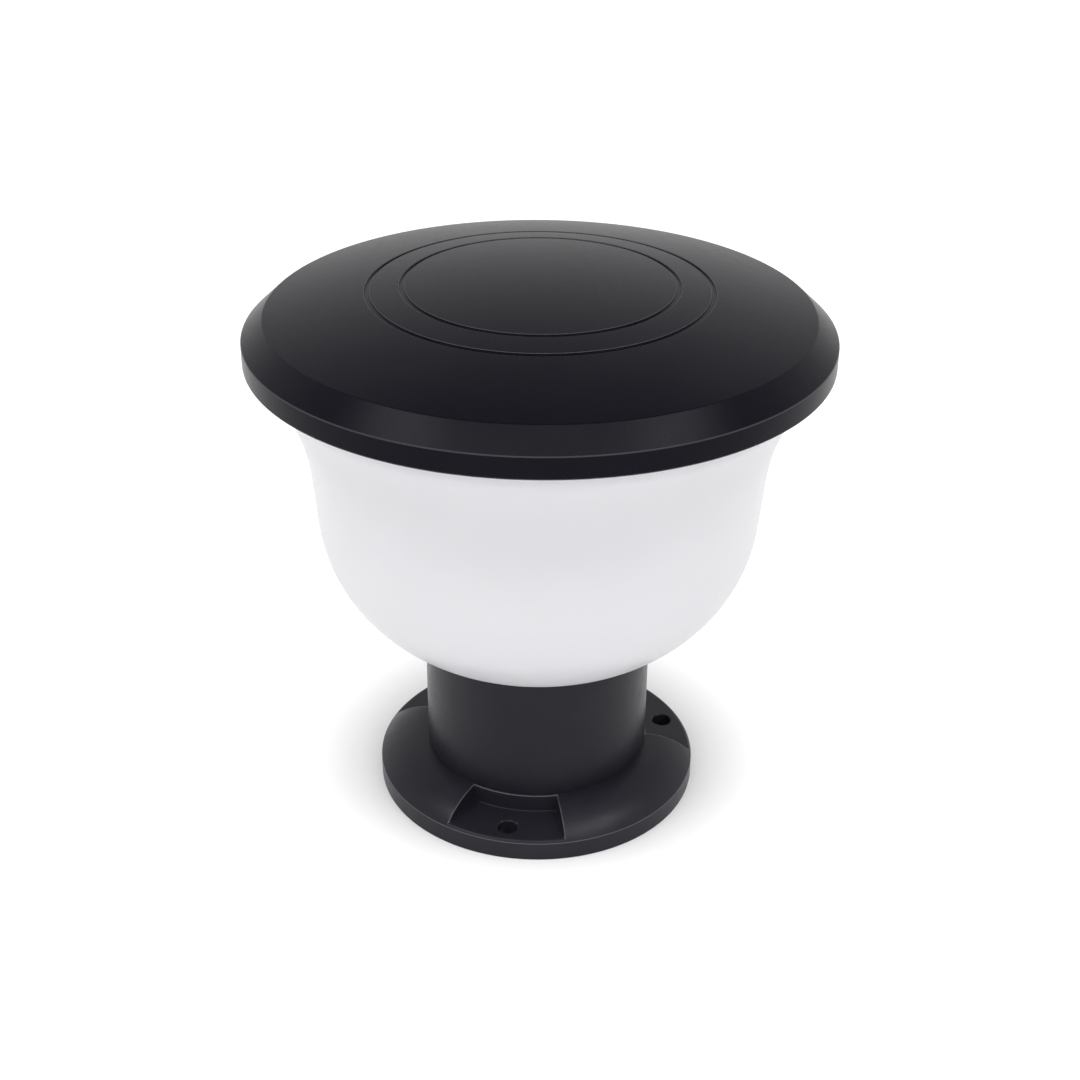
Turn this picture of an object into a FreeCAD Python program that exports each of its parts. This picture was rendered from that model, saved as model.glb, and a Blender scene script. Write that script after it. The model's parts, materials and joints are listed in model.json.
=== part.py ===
import FreeCAD, Part
import math
import os

# Garden pillar light: a cast flange base, a short tube post, a bowl shaped
# opal shade and a low domed cap that closes on the shade with a bayonet ring.
# Millimetres, +Z up, origin at the centre of the base's underside.

# Whole lamp
lamp_turn_deg = -11.2
overrun = 2.0
running_gap = 0.05
seat_gap = 0.3
full_turn = 360.0

# Base flange casting
flange_w = 22.7
rim_h = 10.0
rim_round = 1.1
rim_wall = 5.5
flange_h = 18.5
flange_skin = 3.7
hub_h = 8.5
hub_wall = 3.1
hub_clearance = 0.4
web_t = 3.0
hub_edge = 1.0

# Anchor pockets in the flange
anchor_count = 3
anchor_inset = 9.5
anchor_hole_d = 9.0
anchor_edge = 0.5
anchor_boss_d = 18.0
pocket_half_deg = 21.5
pocket_side_deg = 3.3
pocket_ledge = 0.5

# Ribs under the flange
rib_t = 3.0
rib_spread_deg = 14.0
rib_foot_gap = 2.0

# Base gasket, a cord in a groove of the rim
gasket_groove_w = 2.8
gasket_groove_depth = 2.4
gasket_side_gap = 0.1

# Post tube with screw ports
post_d = 103.6
post_wall = 3.0
post_l = 60.3
port_wall = 3.0
port_sink = 1.2
port_slot_w = 1.6
port_clearance = 0.5
port_boss_wall = 2.1

# Pan head screws of the post, M4
m4_r = 1.85
m4_hole_gap = 0.35
m4_head_overhang = 1.75
m4_head_h = 2.6
m4_head_edge = 0.7
post_screw_l = 16.0

# Cable gland, M16
gland_thread_r = 7.9
gland_bore_r = 5.0
gland_hex_overhang = 3.1
gland_collar_h = 4.0
gland_neck_l = 7.5
gland_neck_wall = 1.5
gland_seal_pocket = 6.5
gland_washer_t = 1.2
gland_above_web = 9.0
locknut_h = 5.0
seal_bore_r = 4.0
seal_l = 9.0
seal_gap = 0.1
cap_nut_hex_overhang = 2.1
cap_nut_overlap = 6.0
cap_nut_cone_h = 2.5
cap_nut_mouth_gap = 0.8
cap_nut_floor = 2.0
cap_nut_edge = 2.0

# Terminal block
pole_count = 3
pole_pitch = 12.0
block_side = 1.0
block_depth = 16.0
block_h = 14.0
block_inset = 23.8
block_slot_w = 2.0
block_slot_depth = 8.0
pole_height = 6.0
clamp_web = 0.5
clamp_recess = 1.0
clamp_wall = 1.1
clamp_gap = 0.1
m3_r = 1.4
m3_head_r = 1.9
m3_head_h = 1.6
pole_screw_spread = 4.2
fixing_head_r = 2.8
fixing_head_h = 2.0
screw_slot_w = 0.7
screw_slot_depth = 0.7

# Earth point on the web
earth_x = 25.0
earth_y = 17.0
earth_screw_l = 6.0
tag_t = 0.8
tag_r = 4.2
tag_barrel_r = 1.9
tag_barrel_l = 6.0
tag_barrel_reach = 11.0

# Inner wires
wire_r = 1.1
wire_entry = 4.0
wire_out = 8.0
wire_bend_share = 0.45
wire_mid_drop = 23.25
wire_mid_inset = 12.8
wire_top_drop = 7.25

# Neck gasket
neck_gasket_t = 1.45
neck_gasket_inset = 0.4
neck_gasket_step = 0.5

# Shade
shade_overhang = 0.2
shade_foot_land = 7.1
shade_foot_t = 3.0
shade_wall = 2.6
bowl_r = 70.0
shade_side_r = 97.67
wall_lean_deg = 4.65
wall_l = 23.2
flare_h = 43.58
collar_h = 15.0

# Bayonet between shade and cap ring
lug_count = 4
lug_half_deg = 8.0
lug_h = 2.4
lug_below_rim = 0.6
lug_play = 0.4
lug_tip_gap = 0.8
stop_deg = 1.5
stop_gap_deg = 0.15
twist_deg = 22.0

# Holder plate
plate_t = 1.5
plate_inset = 1.2
washer_t = 0.8
washer_r = 4.4
plate_screw_l = 14.0
grommet_flange = 1.1
grommet_wall = 1.0
grommet_bore_r = 4.4
grommet_lip = 1.4
grommet_inset = 17.8

# Lampholder bracket
bracket_w = 14.0
bracket_t = 1.5
bracket_rise = 4.0
bracket_top_inset = 2.0
bracket_foot_l = 10.0
bracket_screw_l = 7.0
nut_across_flats = 7.0
nut_h = 3.0

# Lampholder
holder_lip = 2.3
holder_foot_step = 4.0
holder_foot_h = 12.0
holder_wall = 5.5
holder_step_h = 4.0
socket_floor_h = 7.0
socket_ledge_w = 2.65
shell_ledge_h = 5.2
shell_clearance = 0.55
shell_wall = 0.5
shell_h = 21.5
shell_gap = 0.15
mouth_overhang = 1.85
mouth_depth = 2.0
leaf_w = 6.0
leaf_t = 0.8
leaf_rise = 4.0
leaf_half_l = 7.0
terminal_side = 5.0
terminal_l = 6.0
terminal_x = 3.0
terminal_h = 4.0
holder_screw_x = 10.0
holder_screw_depth = 5.0

# Bulb
bulb_r = 30.0
bulb_l = 106.5
globe_wall = 1.2
globe_lip_h = 1.5
bulb_neck_overhang = 1.1
bulb_neck_rise = 4.0
bulb_neck_step = 1.4
housing_wall = 1.8
housing_top_below_centre = 15.0
screw_cap_r = 13.1
screw_cap_wall = 0.6
screw_cap_l = 21.5
insulator_h = 3.0
insulator_step = 2.1
insulator_land = 1.4
contact_r = 4.6
contact_h = 1.2
contact_stem_r = 2.0
contact_stem_h = 1.6
board_t = 1.4
board_gap = 0.2
chip_count = 8
chip_side = 3.0
chip_t = 0.7
chip_ring_r = 15.0

# Cap
cap_d = 250.0
skirt_h = 9.6
edge_w = 9.3
edge_h = 8.6
dome_rise = 14.3
cap_wall = 2.8
skirt_drop = 6.2
dome_edge_round = 1.6
skirt_edge_round = 0.9
groove_r_outer = 72.25
groove_r_inner = 57.8
groove_w = 2.0
groove_depth = 0.8
cap_rib_count = 12
cap_rib_t = 2.4
cap_rib_depth = 5.0
cap_hub_r = 22.5
cap_hub_wall = 2.5
cap_hub_drop = 1.2
cap_boss_r = 4.0
cap_boss_hole_depth = 6.0
cap_screw_count = 6

# Cap ring and its gasket
ring_t = 2.4
ring_wall = 2.2
ring_land = 10.3
ring_bevel_gap = 0.38
ring_skirt_gap = 1.6
ring_foot_rise = 0.8
lip_w = 1.7
lip_clearance = 1.1
lip_h = 1.7
cap_gasket_t = 3.1
cap_gasket_w = 5.8
cap_gasket_side = 0.4
cap_screw_l = 7.5

# Worked-out places
origin = FreeCAD.Vector(0, 0, 0)
up = FreeCAD.Vector(0, 0, 1)
across = FreeCAD.Vector(1, 0, 0)
back = FreeCAD.Vector(0, 1, 0)
post_r = post_d / 2
base_r = post_r + flange_w
post_bore_r = post_r - post_wall
hub_r = post_bore_r - hub_clearance
hub_bore_r = hub_r - hub_wall
web_top = flange_h + hub_h
web_low = web_top - web_t
floor_low = flange_h - flange_skin
anchor_r = base_r - anchor_inset
ledge_r = post_r + pocket_ledge
m4_hole_r = m4_r + m4_hole_gap
m4_head_r = m4_r + m4_head_overhang
port_bore_r = m4_r + running_gap
port_r = port_bore_r + port_wall
port_place = post_bore_r - port_r + port_sink
port_turns = [full_turn * (i + 0.5) / anchor_count for i in range(anchor_count)]
anchor_turns = [full_turn * i / anchor_count for i in range(anchor_count)]
post_top = flange_h + post_l
foot_z = post_top + neck_gasket_t
foot_r = post_r + shade_overhang
shade_foot_bore_r = port_place - shade_foot_land
neck_gasket_bore_r = shade_foot_bore_r + neck_gasket_step
plate_low = foot_z + shade_foot_t
plate_top = plate_low + plate_t
plate_r = post_r - plate_inset
holder_z = plate_top + bracket_rise + bracket_t
gland_across_flats = 2 * (gland_thread_r + gland_hex_overhang)
gland_neck_bore_r = gland_thread_r - gland_neck_wall
cap_nut_across_flats = 2 * (gland_thread_r + cap_nut_hex_overhang)
block_w = pole_count * pole_pitch + 2 * block_side
block_place = post_bore_r - block_inset
clamp_side = pole_pitch - 2 * (fixing_head_r + clamp_web)
clamp_l = block_depth - 2 * clamp_recess
clamp_bore_r = clamp_side / 2 - clamp_wall
grommet_y = grommet_inset - post_bore_r
grommet_groove_r = grommet_bore_r + grommet_wall
grommet_r = grommet_groove_r + grommet_flange
shell_r = screw_cap_r + shell_clearance
socket_floor_r = shell_r - socket_ledge_w
mouth_r = shell_r + mouth_overhang
holder_body_r = mouth_r + holder_wall
holder_foot_r = holder_body_r - holder_foot_step
holder_h = socket_floor_h + shell_ledge_h + shell_h + holder_lip
bracket_top_half = holder_foot_r - bracket_top_inset
bulb_neck_r = screw_cap_r + bulb_neck_overhang
insulator_top_r = screw_cap_r - insulator_step
insulator_r = contact_r + insulator_land
cap_r = cap_d / 2
ring_outer_r = cap_r - cap_wall - ring_skirt_gap
ring_bore_r = ring_outer_r - ring_wall
gasket_out_r = ring_bore_r - lip_clearance - lip_w - cap_gasket_side
gasket_in_r = gasket_out_r - cap_gasket_w
ring_inner_r = gasket_in_r - cap_gasket_side - lip_w - ring_land
cap_screw_place = ring_inner_r + ring_land / 2
collar_r = (gasket_in_r + gasket_out_r + shade_wall) / 2
lean = math.radians(wall_lean_deg)
bowl_centre_r = shade_side_r - bowl_r * math.cos(lean)
bowl_centre_z = foot_z + math.sqrt(bowl_r ** 2 - (foot_r - bowl_centre_r) ** 2)
wall_low_z = bowl_centre_z - bowl_r * math.sin(lean)
flare_top_z = wall_low_z + wall_l * math.cos(lean) + flare_h
collar_top = flare_top_z + collar_h
cap_low = collar_top - skirt_drop
dome_r = cap_r - edge_w
dome_low = cap_low + skirt_h + edge_h
apex_z = dome_low + dome_rise
dome_radius = (dome_r ** 2 + dome_rise ** 2) / (2 * dome_rise)
dome_centre_z = apex_z - dome_radius
ring_low = collar_top + cap_gasket_t
ring_top = ring_low + ring_t
tip_z = holder_z + socket_floor_h + leaf_rise + seat_gap
pole_z = web_top + pole_height


def vector(x, y, z):
    return FreeCAD.Vector(x, y, z)


def arc_step(start, end, centre):
    """Arc step from start to end about centre, the short way round."""
    middle_r = (start[0] + end[0]) / 2 - centre[0]
    middle_z = (start[1] + end[1]) / 2 - centre[1]
    stretch = math.dist(start, centre) / math.hypot(middle_r, middle_z)
    return ((centre[0] + middle_r * stretch, centre[1] + middle_z * stretch), end)


def section(*steps):
    """Closed face in the XZ plane. A step is a point (r, z), or a pair of
    points for an arc: one that it passes through and its end."""
    here = steps[0]
    edges = []
    for step in steps[1:] + steps[:1]:
        if isinstance(step[0], tuple):
            via, end = [vector(r, 0, z) for r, z in step]
            edges.append(Part.Arc(vector(here[0], 0, here[1]), via, end).toShape())
            here = step[1]
        elif math.dist(here, step) > 0:
            end = vector(step[0], 0, step[1])
            edges.append(Part.makeLine(vector(here[0], 0, here[1]), end))
            here = step
    return Part.Face(Part.Wire(edges))


def lathe(*steps):
    return section(*steps).revolve(origin, up, full_turn)


def turned(shape, degrees):
    copy = shape.copy()
    copy.rotate(origin, up, degrees)
    return copy


def moved(shape, x, y, z):
    copy = shape.copy()
    copy.translate(vector(x, y, z))
    return copy


def rod(r, low, high, x=0, y=0):
    return Part.makeCylinder(r, high - low, vector(x, y, low))


def pipe(r, bore, low, high, x=0, y=0):
    return rod(r, low, high, x, y).cut(rod(bore, low, high, x, y))


def block(x0, x1, y0, y1, z0, z1):
    return Part.makeBox(x1 - x0, y1 - y0, z1 - z0, vector(x0, y0, z0))


def sector(r_in, r_out, low, high, middle_deg, half_deg):
    """Piece of a ring about the axis, centred on an angle from -Y."""
    plate = section((r_in, low), (r_out, low), (r_out, high), (r_in, high))
    arc = plate.revolve(origin, up, 2 * half_deg)
    return turned(arc, middle_deg - full_turn / 4 - half_deg)


def at_angle(r, degrees):
    """Place on a circle, at an angle from -Y towards +X."""
    a = math.radians(degrees)
    return r * math.sin(a), -r * math.cos(a)


def around(shape, angles):
    return [turned(shape, a) for a in angles]


def hexagon(across_flats, low, high, x=0, y=0):
    corner_r = across_flats / math.sqrt(3)
    corners = [vector(x + corner_r * math.cos(math.pi * i / 3),
                      y + corner_r * math.sin(math.pi * i / 3), low) for i in range(7)]
    return Part.Face(Part.makePolygon(corners)).extrude(up * (high - low))


def pan_screw(head_low, length, head_r, head_h, shank_r, edge, x, y):
    """Screw that points down, its head's underside at head_low."""
    top = head_low + head_h
    body = lathe((0, head_low - length), (shank_r, head_low - length), (shank_r, head_low),
                 (head_r, head_low), (head_r, top - edge), (head_r - edge, top), (0, top))
    return moved(body, x, y, 0)


def upside_down(shape, z):
    copy = shape.copy()
    copy.rotate(vector(0, 0, z), across, full_turn / 2)
    return copy


def slotted(screw, top, head_r, x, y):
    half = screw_slot_w / 2
    return screw.cut(block(x - head_r, x + head_r, y - half, y + half,
                           top - screw_slot_depth, top + overrun))


def circle_edges(shape, r, z):
    """Circular edges of a shape at a radius about the axis and a height."""
    found = []
    for edge in shape.Edges:
        box = edge.BoundBox
        if box.ZLength < running_gap and abs(box.ZMin - z) < running_gap:
            if abs(box.XMax - r) < running_gap and abs(box.YMax - r) < running_gap:
                found.append(edge)
    return found


def save(name, *shapes):
    placed = [turned(shape, lamp_turn_deg) for shape in shapes]
    whole = placed[0] if len(placed) == 1 else Part.makeCompound(placed)
    whole.exportStep(os.path.join("parts", name + ".step"))


# Base flange

def flange_outline(inset):
    """Rim and dome of the flange, from the ground to the hub, set in by a skin."""
    rise = flange_h - rim_h
    run = base_r - rim_round - post_r
    arc_r = (run ** 2 + rise ** 2) / (2 * rise)
    centre = (post_r, flange_h - arc_r)
    top = (post_r, flange_h - inset)
    side_r = base_r - rim_round if inset == 0 else base_r - rim_wall
    side = (side_r, centre[1] + math.sqrt((arc_r - inset) ** 2 - (side_r - post_r) ** 2))
    return top, side, centre


def flange_body():
    """Rim, dome and raised hub as one skin, before pockets and bosses."""
    top, side, centre = flange_outline(0)
    low_top, low_side, low_centre = flange_outline(flange_skin)
    bevel = (base_r, side[1] - rim_round)
    return lathe((low_side[0], 0), (base_r, 0), bevel, side, arc_step(side, top, centre),
                 (hub_r, flange_h), (hub_r, web_top - hub_edge), (hub_r - hub_edge, web_top),
                 (0, web_top), (0, web_low), (hub_bore_r, web_low), (hub_bore_r, floor_low),
                 low_top, arc_step(low_top, low_side, low_centre))


def flange_solid():
    """Everything under the flange's outer surface, to trim what is added."""
    top, side, centre = flange_outline(0)
    bevel = (base_r, side[1] - rim_round)
    return lathe((hub_bore_r, 0), (base_r, 0), bevel, side, arc_step(side, top, centre),
                 (hub_bore_r, flange_h))


def base_flange():
    whole = flange_solid()
    body = flange_body()
    added = []
    cuts = []
    for angle in anchor_turns:
        half = pocket_half_deg + pocket_side_deg
        added.append(sector(hub_r, base_r - rim_round, rim_h - flange_skin, flange_h,
                            angle, half).common(whole))
        x, y = at_angle(anchor_r, angle)
        added.append(rod(anchor_boss_d / 2, 0, rim_h - rim_round, x, y).common(whole))
        cuts.append(sector(ledge_r, base_r + overrun, rim_h, flange_h + overrun,
                           angle, pocket_half_deg))
        cuts.append(rod(anchor_hole_d / 2, -overrun, flange_h, x, y))
        cuts.append(Part.makeCone(anchor_hole_d / 2, anchor_hole_d / 2 + anchor_edge, anchor_edge,
                                  vector(x, y, rim_h - anchor_edge)))
    for angle in port_turns:
        x, y = at_angle(port_place, angle)
        boss_r = port_r + port_clearance + port_boss_wall
        boss = rod(boss_r, floor_low, web_top, x, y)
        added.append(boss.common(rod(hub_r, 0, web_top)))
        cuts.append(rod(port_r + port_clearance, flange_h, web_top + overrun, x, y))
        cuts.append(rod(m4_hole_r, 0, flange_h + overrun, x, y))
        for side in (-rib_spread_deg, rib_spread_deg):
            rib = block(-rib_t / 2, rib_t / 2, -base_r, -hub_bore_r, rib_foot_gap, flange_h)
            rib = rib.cut(rod(hub_bore_r, 0, flange_h)).common(rod(base_r - rim_wall / 2, 0, flange_h))
            added.append(turned(rib, angle + side).common(whole))
    body = body.fuse(added).removeSplitter()
    groove_r = base_r - rim_wall / 2 + gasket_groove_w / 2
    cuts.append(pipe(groove_r, groove_r - gasket_groove_w, -overrun, gasket_groove_depth))
    cuts.append(rod(gland_thread_r + running_gap, 0, web_top + overrun))
    for x in (-pole_pitch / 2, pole_pitch / 2):
        cuts.append(rod(m3_r + running_gap, web_low - overrun, web_top + overrun, x, -block_place))
    cuts.append(rod(m4_r + running_gap, web_low - overrun, web_top + overrun, earth_x, earth_y))
    return body.cut(cuts).removeSplitter()


def base_gasket():
    middle_r = base_r - rim_wall / 2
    half = gasket_groove_w / 2 - gasket_side_gap
    return pipe(middle_r + half, middle_r - half, 0, gasket_groove_depth)


# Post

def post_tube():
    tube = pipe(post_r, post_bore_r, flange_h, post_top)
    for angle in port_turns:
        x, y = at_angle(port_place, angle)
        tube = tube.fuse(rod(port_r, flange_h, post_top, x, y))
    for angle in port_turns:
        x, y = at_angle(port_place, angle)
        tube = tube.cut(rod(port_bore_r, flange_h, post_top, x, y))
        slot = block(-port_slot_w / 2, port_slot_w / 2, -port_place, -port_place + port_r + overrun,
                     flange_h, post_top)
        tube = tube.cut(turned(slot, angle))
    return tube.removeSplitter()


def base_screws():
    screws = []
    for angle in port_turns:
        x, y = at_angle(port_place, angle)
        screw = pan_screw(0, post_screw_l, m4_head_r, m4_head_h, m4_r, m4_head_edge, 0, 0)
        screws.append(moved(upside_down(screw, 0), x, y, floor_low))
    return screws


# Cable gland

def gland_levels():
    collar_top_z = web_low - gland_washer_t
    collar_low_z = collar_top_z - gland_collar_h
    return collar_top_z, collar_low_z, collar_low_z - gland_neck_l


def gland_body():
    collar_top_z, collar_low_z, neck_low = gland_levels()
    body = rod(gland_thread_r, neck_low, web_top + gland_above_web)
    body = body.fuse(hexagon(gland_across_flats, collar_low_z, collar_top_z))
    body = body.cut(rod(gland_bore_r, neck_low - overrun, web_top + gland_above_web + overrun))
    return body.cut(rod(gland_neck_bore_r, neck_low - overrun, neck_low + gland_seal_pocket))


def gland_washer():
    return pipe(gland_across_flats / 2, gland_thread_r + seal_gap, web_low - gland_washer_t, web_low)


def gland_locknut():
    nut = hexagon(gland_across_flats, web_top, web_top + locknut_h)
    return nut.cut(rod(gland_thread_r + running_gap, web_top, web_top + locknut_h))


def gland_seal():
    neck_low = gland_levels()[2]
    top = neck_low + gland_seal_pocket - seal_gap
    outer = gland_neck_bore_r - seal_gap
    return pipe(outer, seal_bore_r, top - seal_l, top)


def gland_nut():
    neck_low = gland_levels()[2]
    inner_low = neck_low + gland_seal_pocket - seal_gap - seal_l
    low = inner_low - cap_nut_floor
    flat_r = cap_nut_across_flats / 2
    nut = hexagon(cap_nut_across_flats, low + cap_nut_cone_h, neck_low + cap_nut_overlap)
    nose = Part.makeCone(flat_r - cap_nut_edge, flat_r, cap_nut_cone_h, vector(0, 0, low))
    nut = nut.fuse(nose)
    nut = nut.cut(rod(seal_bore_r + cap_nut_mouth_gap, low - overrun, inner_low + overrun))
    nut = nut.cut(rod(gland_neck_bore_r, inner_low, neck_low))
    return nut.cut(rod(gland_thread_r + running_gap, neck_low, neck_low + cap_nut_overlap))


# Terminal block, in front of the gland, with its poles in a row along X

def pole_places():
    return [(i - (pole_count - 1) / 2) * pole_pitch for i in range(pole_count)]


def terminal_block():
    y_low = -block_place - block_depth / 2
    y_high = -block_place + block_depth / 2
    body = block(-block_w / 2, block_w / 2, y_low, y_high, web_top, web_top + block_h)
    half = clamp_side / 2 + clamp_gap
    for x in pole_places():
        body = body.cut(block(x - half, x + half, y_low - overrun, y_high + overrun,
                              pole_z - half, pole_z + half))
        for step in (-pole_screw_spread, pole_screw_spread):
            body = body.cut(rod(m3_head_r + clamp_gap, pole_z, web_top + block_h + overrun,
                                x, -block_place + step))
    for x in (-pole_pitch / 2, pole_pitch / 2):
        body = body.cut(block(x - block_slot_w / 2, x + block_slot_w / 2, y_low - overrun,
                              y_high + overrun, web_top + block_h - block_slot_depth,
                              web_top + block_h + overrun))
        body = body.cut(rod(fixing_head_r + clamp_gap, web_top + block_h - block_slot_depth,
                            web_top + block_h + overrun, x, -block_place))
        body = body.cut(rod(m3_r + clamp_gap, web_top - overrun, web_top + block_h, x, -block_place))
    return body


def terminal_clamps():
    half = clamp_side / 2
    clamps = []
    for x in pole_places():
        clamp = block(x - half, x + half, -block_place - clamp_l / 2, -block_place + clamp_l / 2,
                      pole_z - half, pole_z + half)
        bore = Part.makeCylinder(clamp_bore_r, clamp_l + 2 * overrun,
                                 vector(x, -block_place - clamp_l / 2 - overrun, pole_z), back)
        clamp = clamp.cut(bore)
        for step in (-pole_screw_spread, pole_screw_spread):
            clamp = clamp.cut(rod(m3_r + running_gap, pole_z, pole_z + clamp_side,
                                  x, -block_place + step))
        clamps.append(clamp)
    return clamps


def terminal_screws():
    screws = []
    head_low = web_top + block_h - block_slot_depth / 2
    for x in pole_places():
        for step in (-pole_screw_spread, pole_screw_spread):
            y = -block_place + step
            screw = pan_screw(head_low, head_low - pole_z - wire_r - running_gap, m3_head_r,
                              m3_head_h, m3_r, 0, x, y)
            screws.append(slotted(screw, head_low + m3_head_h, m3_head_r, x, y))
    return screws


def terminal_fixing_screws():
    head_low = web_top + block_h - block_slot_depth
    screws = []
    for x in (-pole_pitch / 2, pole_pitch / 2):
        length = head_low - web_low
        screw = pan_screw(head_low, length, fixing_head_r, fixing_head_h, m3_r, 0, x, -block_place)
        screws.append(slotted(screw, head_low + fixing_head_h, fixing_head_r, x, -block_place))
    return screws


# Earth point

def earth_tag():
    disc = rod(tag_r, web_top, web_top + tag_t, earth_x, earth_y)
    neck_end = earth_y - tag_barrel_reach + tag_barrel_l
    tongue = block(earth_x - tag_barrel_r, earth_x + tag_barrel_r, neck_end, earth_y,
                   web_top, web_top + tag_t)
    barrel = Part.makeCylinder(tag_barrel_r, tag_barrel_l,
                               vector(earth_x, earth_y - tag_barrel_reach, web_top + tag_barrel_r), back)
    tag = disc.fuse([tongue, barrel])
    return tag.cut(rod(m4_hole_r, web_top - overrun, web_top + tag_t + overrun, earth_x, earth_y))


def earth_screw():
    screw = pan_screw(web_top + tag_t, earth_screw_l, m4_head_r, m4_head_h, m4_r, m4_head_edge,
                      earth_x, earth_y)
    return slotted(screw, web_top + tag_t + m4_head_h, m4_head_r, earth_x, earth_y)


# Inner wires

def wire(points):
    """Round wire through points, each corner an arc as large as its runs allow."""
    pieces = []
    here = points[0]
    for before, corner, after in zip(points, points[1:], points[2:]):
        arriving = (corner - before).normalize()
        leaving = (after - corner).normalize()
        turn = arriving.getAngle(leaving)
        setback = wire_bend_share * min(before.distanceToPoint(corner), corner.distanceToPoint(after))
        bend_r = setback / math.tan(turn / 2)
        start = corner - arriving * setback
        normal = arriving.cross(leaving).normalize()
        centre = start + normal.cross(arriving) * bend_r
        end_face = Part.Face(Part.Wire(Part.makeCircle(wire_r, start, arriving)))
        pieces.append(Part.makeCylinder(wire_r, here.distanceToPoint(start), here, arriving))
        pieces.append(end_face.revolve(centre, normal, math.degrees(turn)))
        here = corner + leaving * setback
    last = points[-1] - here
    pieces.append(Part.makeCylinder(wire_r, last.Length, here, last))
    return pieces[0].fuse(pieces[1:])


def lamp_wire(pole_x, x):
    """From the outer side of a terminal pole up the post, through the grommet,
    and in to the lampholder's side terminal."""
    y_out = -block_place - clamp_l / 2
    terminal_z = holder_z + terminal_h
    terminal_y = -holder_foot_r + wire_entry
    middle = (pole_x + x) / 2
    return wire([vector(pole_x, y_out + wire_entry, pole_z),
                 vector(pole_x, y_out - wire_out, pole_z),
                 vector(middle, wire_mid_inset - post_bore_r, plate_low - wire_mid_drop),
                 vector(x, grommet_y, plate_low - wire_top_drop),
                 vector(x, grommet_y, terminal_z),
                 vector(x, terminal_y, terminal_z)])


def live_wire():
    return lamp_wire(pole_places()[0], -terminal_x)


def neutral_wire():
    return lamp_wire(pole_places()[1], terminal_x)


def earth_wire():
    x = pole_places()[-1]
    y_in = -block_place + clamp_l / 2
    barrel_z = web_top + tag_barrel_r
    barrel_y = earth_y - tag_barrel_reach
    return wire([vector(x, y_in - wire_entry, pole_z),
                 vector(x, y_in + wire_out / 2, pole_z),
                 vector(earth_x, barrel_y - wire_out, barrel_z),
                 vector(earth_x, barrel_y, barrel_z)])


# Neck and shade

def neck_gasket():
    gasket = pipe(post_r - neck_gasket_inset, neck_gasket_bore_r, post_top, foot_z)
    for angle in port_turns:
        x, y = at_angle(port_place, angle)
        gasket = gasket.cut(rod(m4_hole_r, post_top, foot_z, x, y))
    return gasket


def shade_places(inset):
    """Arc centres and meeting points of the shade's outline, set in by its wall."""
    out = (math.cos(lean), -math.sin(lean))
    high_r = shade_side_r + wall_l * math.sin(lean)
    flare_out = collar_r - high_r
    flare_r = (flare_out ** 2 + flare_h ** 2) / (2 * (flare_out * out[0] + flare_h * out[1]))
    high_z = flare_top_z - flare_h
    flare_centre = (high_r + flare_r * out[0], high_z + flare_r * out[1])
    low = (shade_side_r - inset * out[0], wall_low_z - inset * out[1])
    high = (high_r - inset * out[0], high_z - inset * out[1])
    reach = math.sqrt((flare_r + inset) ** 2 - (flare_top_z - flare_centre[1]) ** 2)
    lip = (flare_centre[0] - math.copysign(reach, flare_r), flare_top_z)
    return (bowl_centre_r, bowl_centre_z), low, high, flare_centre, lip


def shade():
    bowl_centre, low, high, flare_centre, lip = shade_places(0)
    inner_low, inner_high, inner_lip = [shade_places(shade_wall)[i] for i in (1, 2, 4)]
    inner_foot = (bowl_centre[0] + math.sqrt((bowl_r - shade_wall) ** 2
                                             - (bowl_centre[1] - plate_low) ** 2), plate_low)
    foot = (foot_r, foot_z)
    body = lathe((shade_foot_bore_r, foot_z), foot, arc_step(foot, low, bowl_centre), high,
                 arc_step(high, lip, flare_centre), (collar_r, collar_top),
                 (collar_r - shade_wall, collar_top), (collar_r - shade_wall, flare_top_z), inner_lip,
                 arc_step(inner_lip, inner_high, flare_centre), inner_low,
                 arc_step(inner_low, inner_foot, bowl_centre), (shade_foot_bore_r, plate_low))
    for angle in port_turns:
        x, y = at_angle(port_place, angle)
        body = body.cut(rod(m4_hole_r, foot_z - overrun, plate_low + overrun, x, y))
    lug_top = collar_top - lug_below_rim
    lug_low = lug_top - lug_h
    stop_low = ring_lug_levels()[0] + running_gap
    inner = collar_r - shade_wall / 2
    outer = ring_bore_r - lug_tip_gap
    lug = sector(inner, outer, lug_low, lug_top, 0, lug_half_deg)
    stop_middle = lug_half_deg + stop_gap_deg + stop_deg / 2
    stop = sector(inner, outer, stop_low, lug_top, stop_middle, stop_deg / 2 + stop_gap_deg)
    lugs = around(lug.fuse(stop), [full_turn * i / lug_count for i in range(lug_count)])
    return body.fuse(lugs).removeSplitter()


# Holder plate and lampholder

def holder_plate():
    plate = rod(plate_r, plate_low, plate_top)
    for angle in port_turns:
        x, y = at_angle(port_place, angle)
        plate = plate.cut(rod(m4_hole_r, plate_low, plate_top, x, y))
    for x in (-bracket_screw_x(), bracket_screw_x()):
        plate = plate.cut(rod(m4_hole_r, plate_low, plate_top, x, 0))
    return plate.cut(rod(grommet_groove_r + clamp_gap, plate_low, plate_top, 0, grommet_y))


def wire_grommet():
    half = grommet_lip
    body = lathe((grommet_bore_r, plate_low - half), (grommet_r, plate_low - half),
                 (grommet_r, plate_low), (grommet_groove_r, plate_low), (grommet_groove_r, plate_top),
                 (grommet_r, plate_top), (grommet_r, plate_top + half),
                 (grommet_bore_r, plate_top + half))
    return moved(body, 0, grommet_y, 0)


def plate_washers():
    washers = []
    for angle in port_turns:
        x, y = at_angle(port_place, angle)
        washers.append(pipe(washer_r, m4_hole_r, plate_top, plate_top + washer_t, x, y))
    return washers


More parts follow.
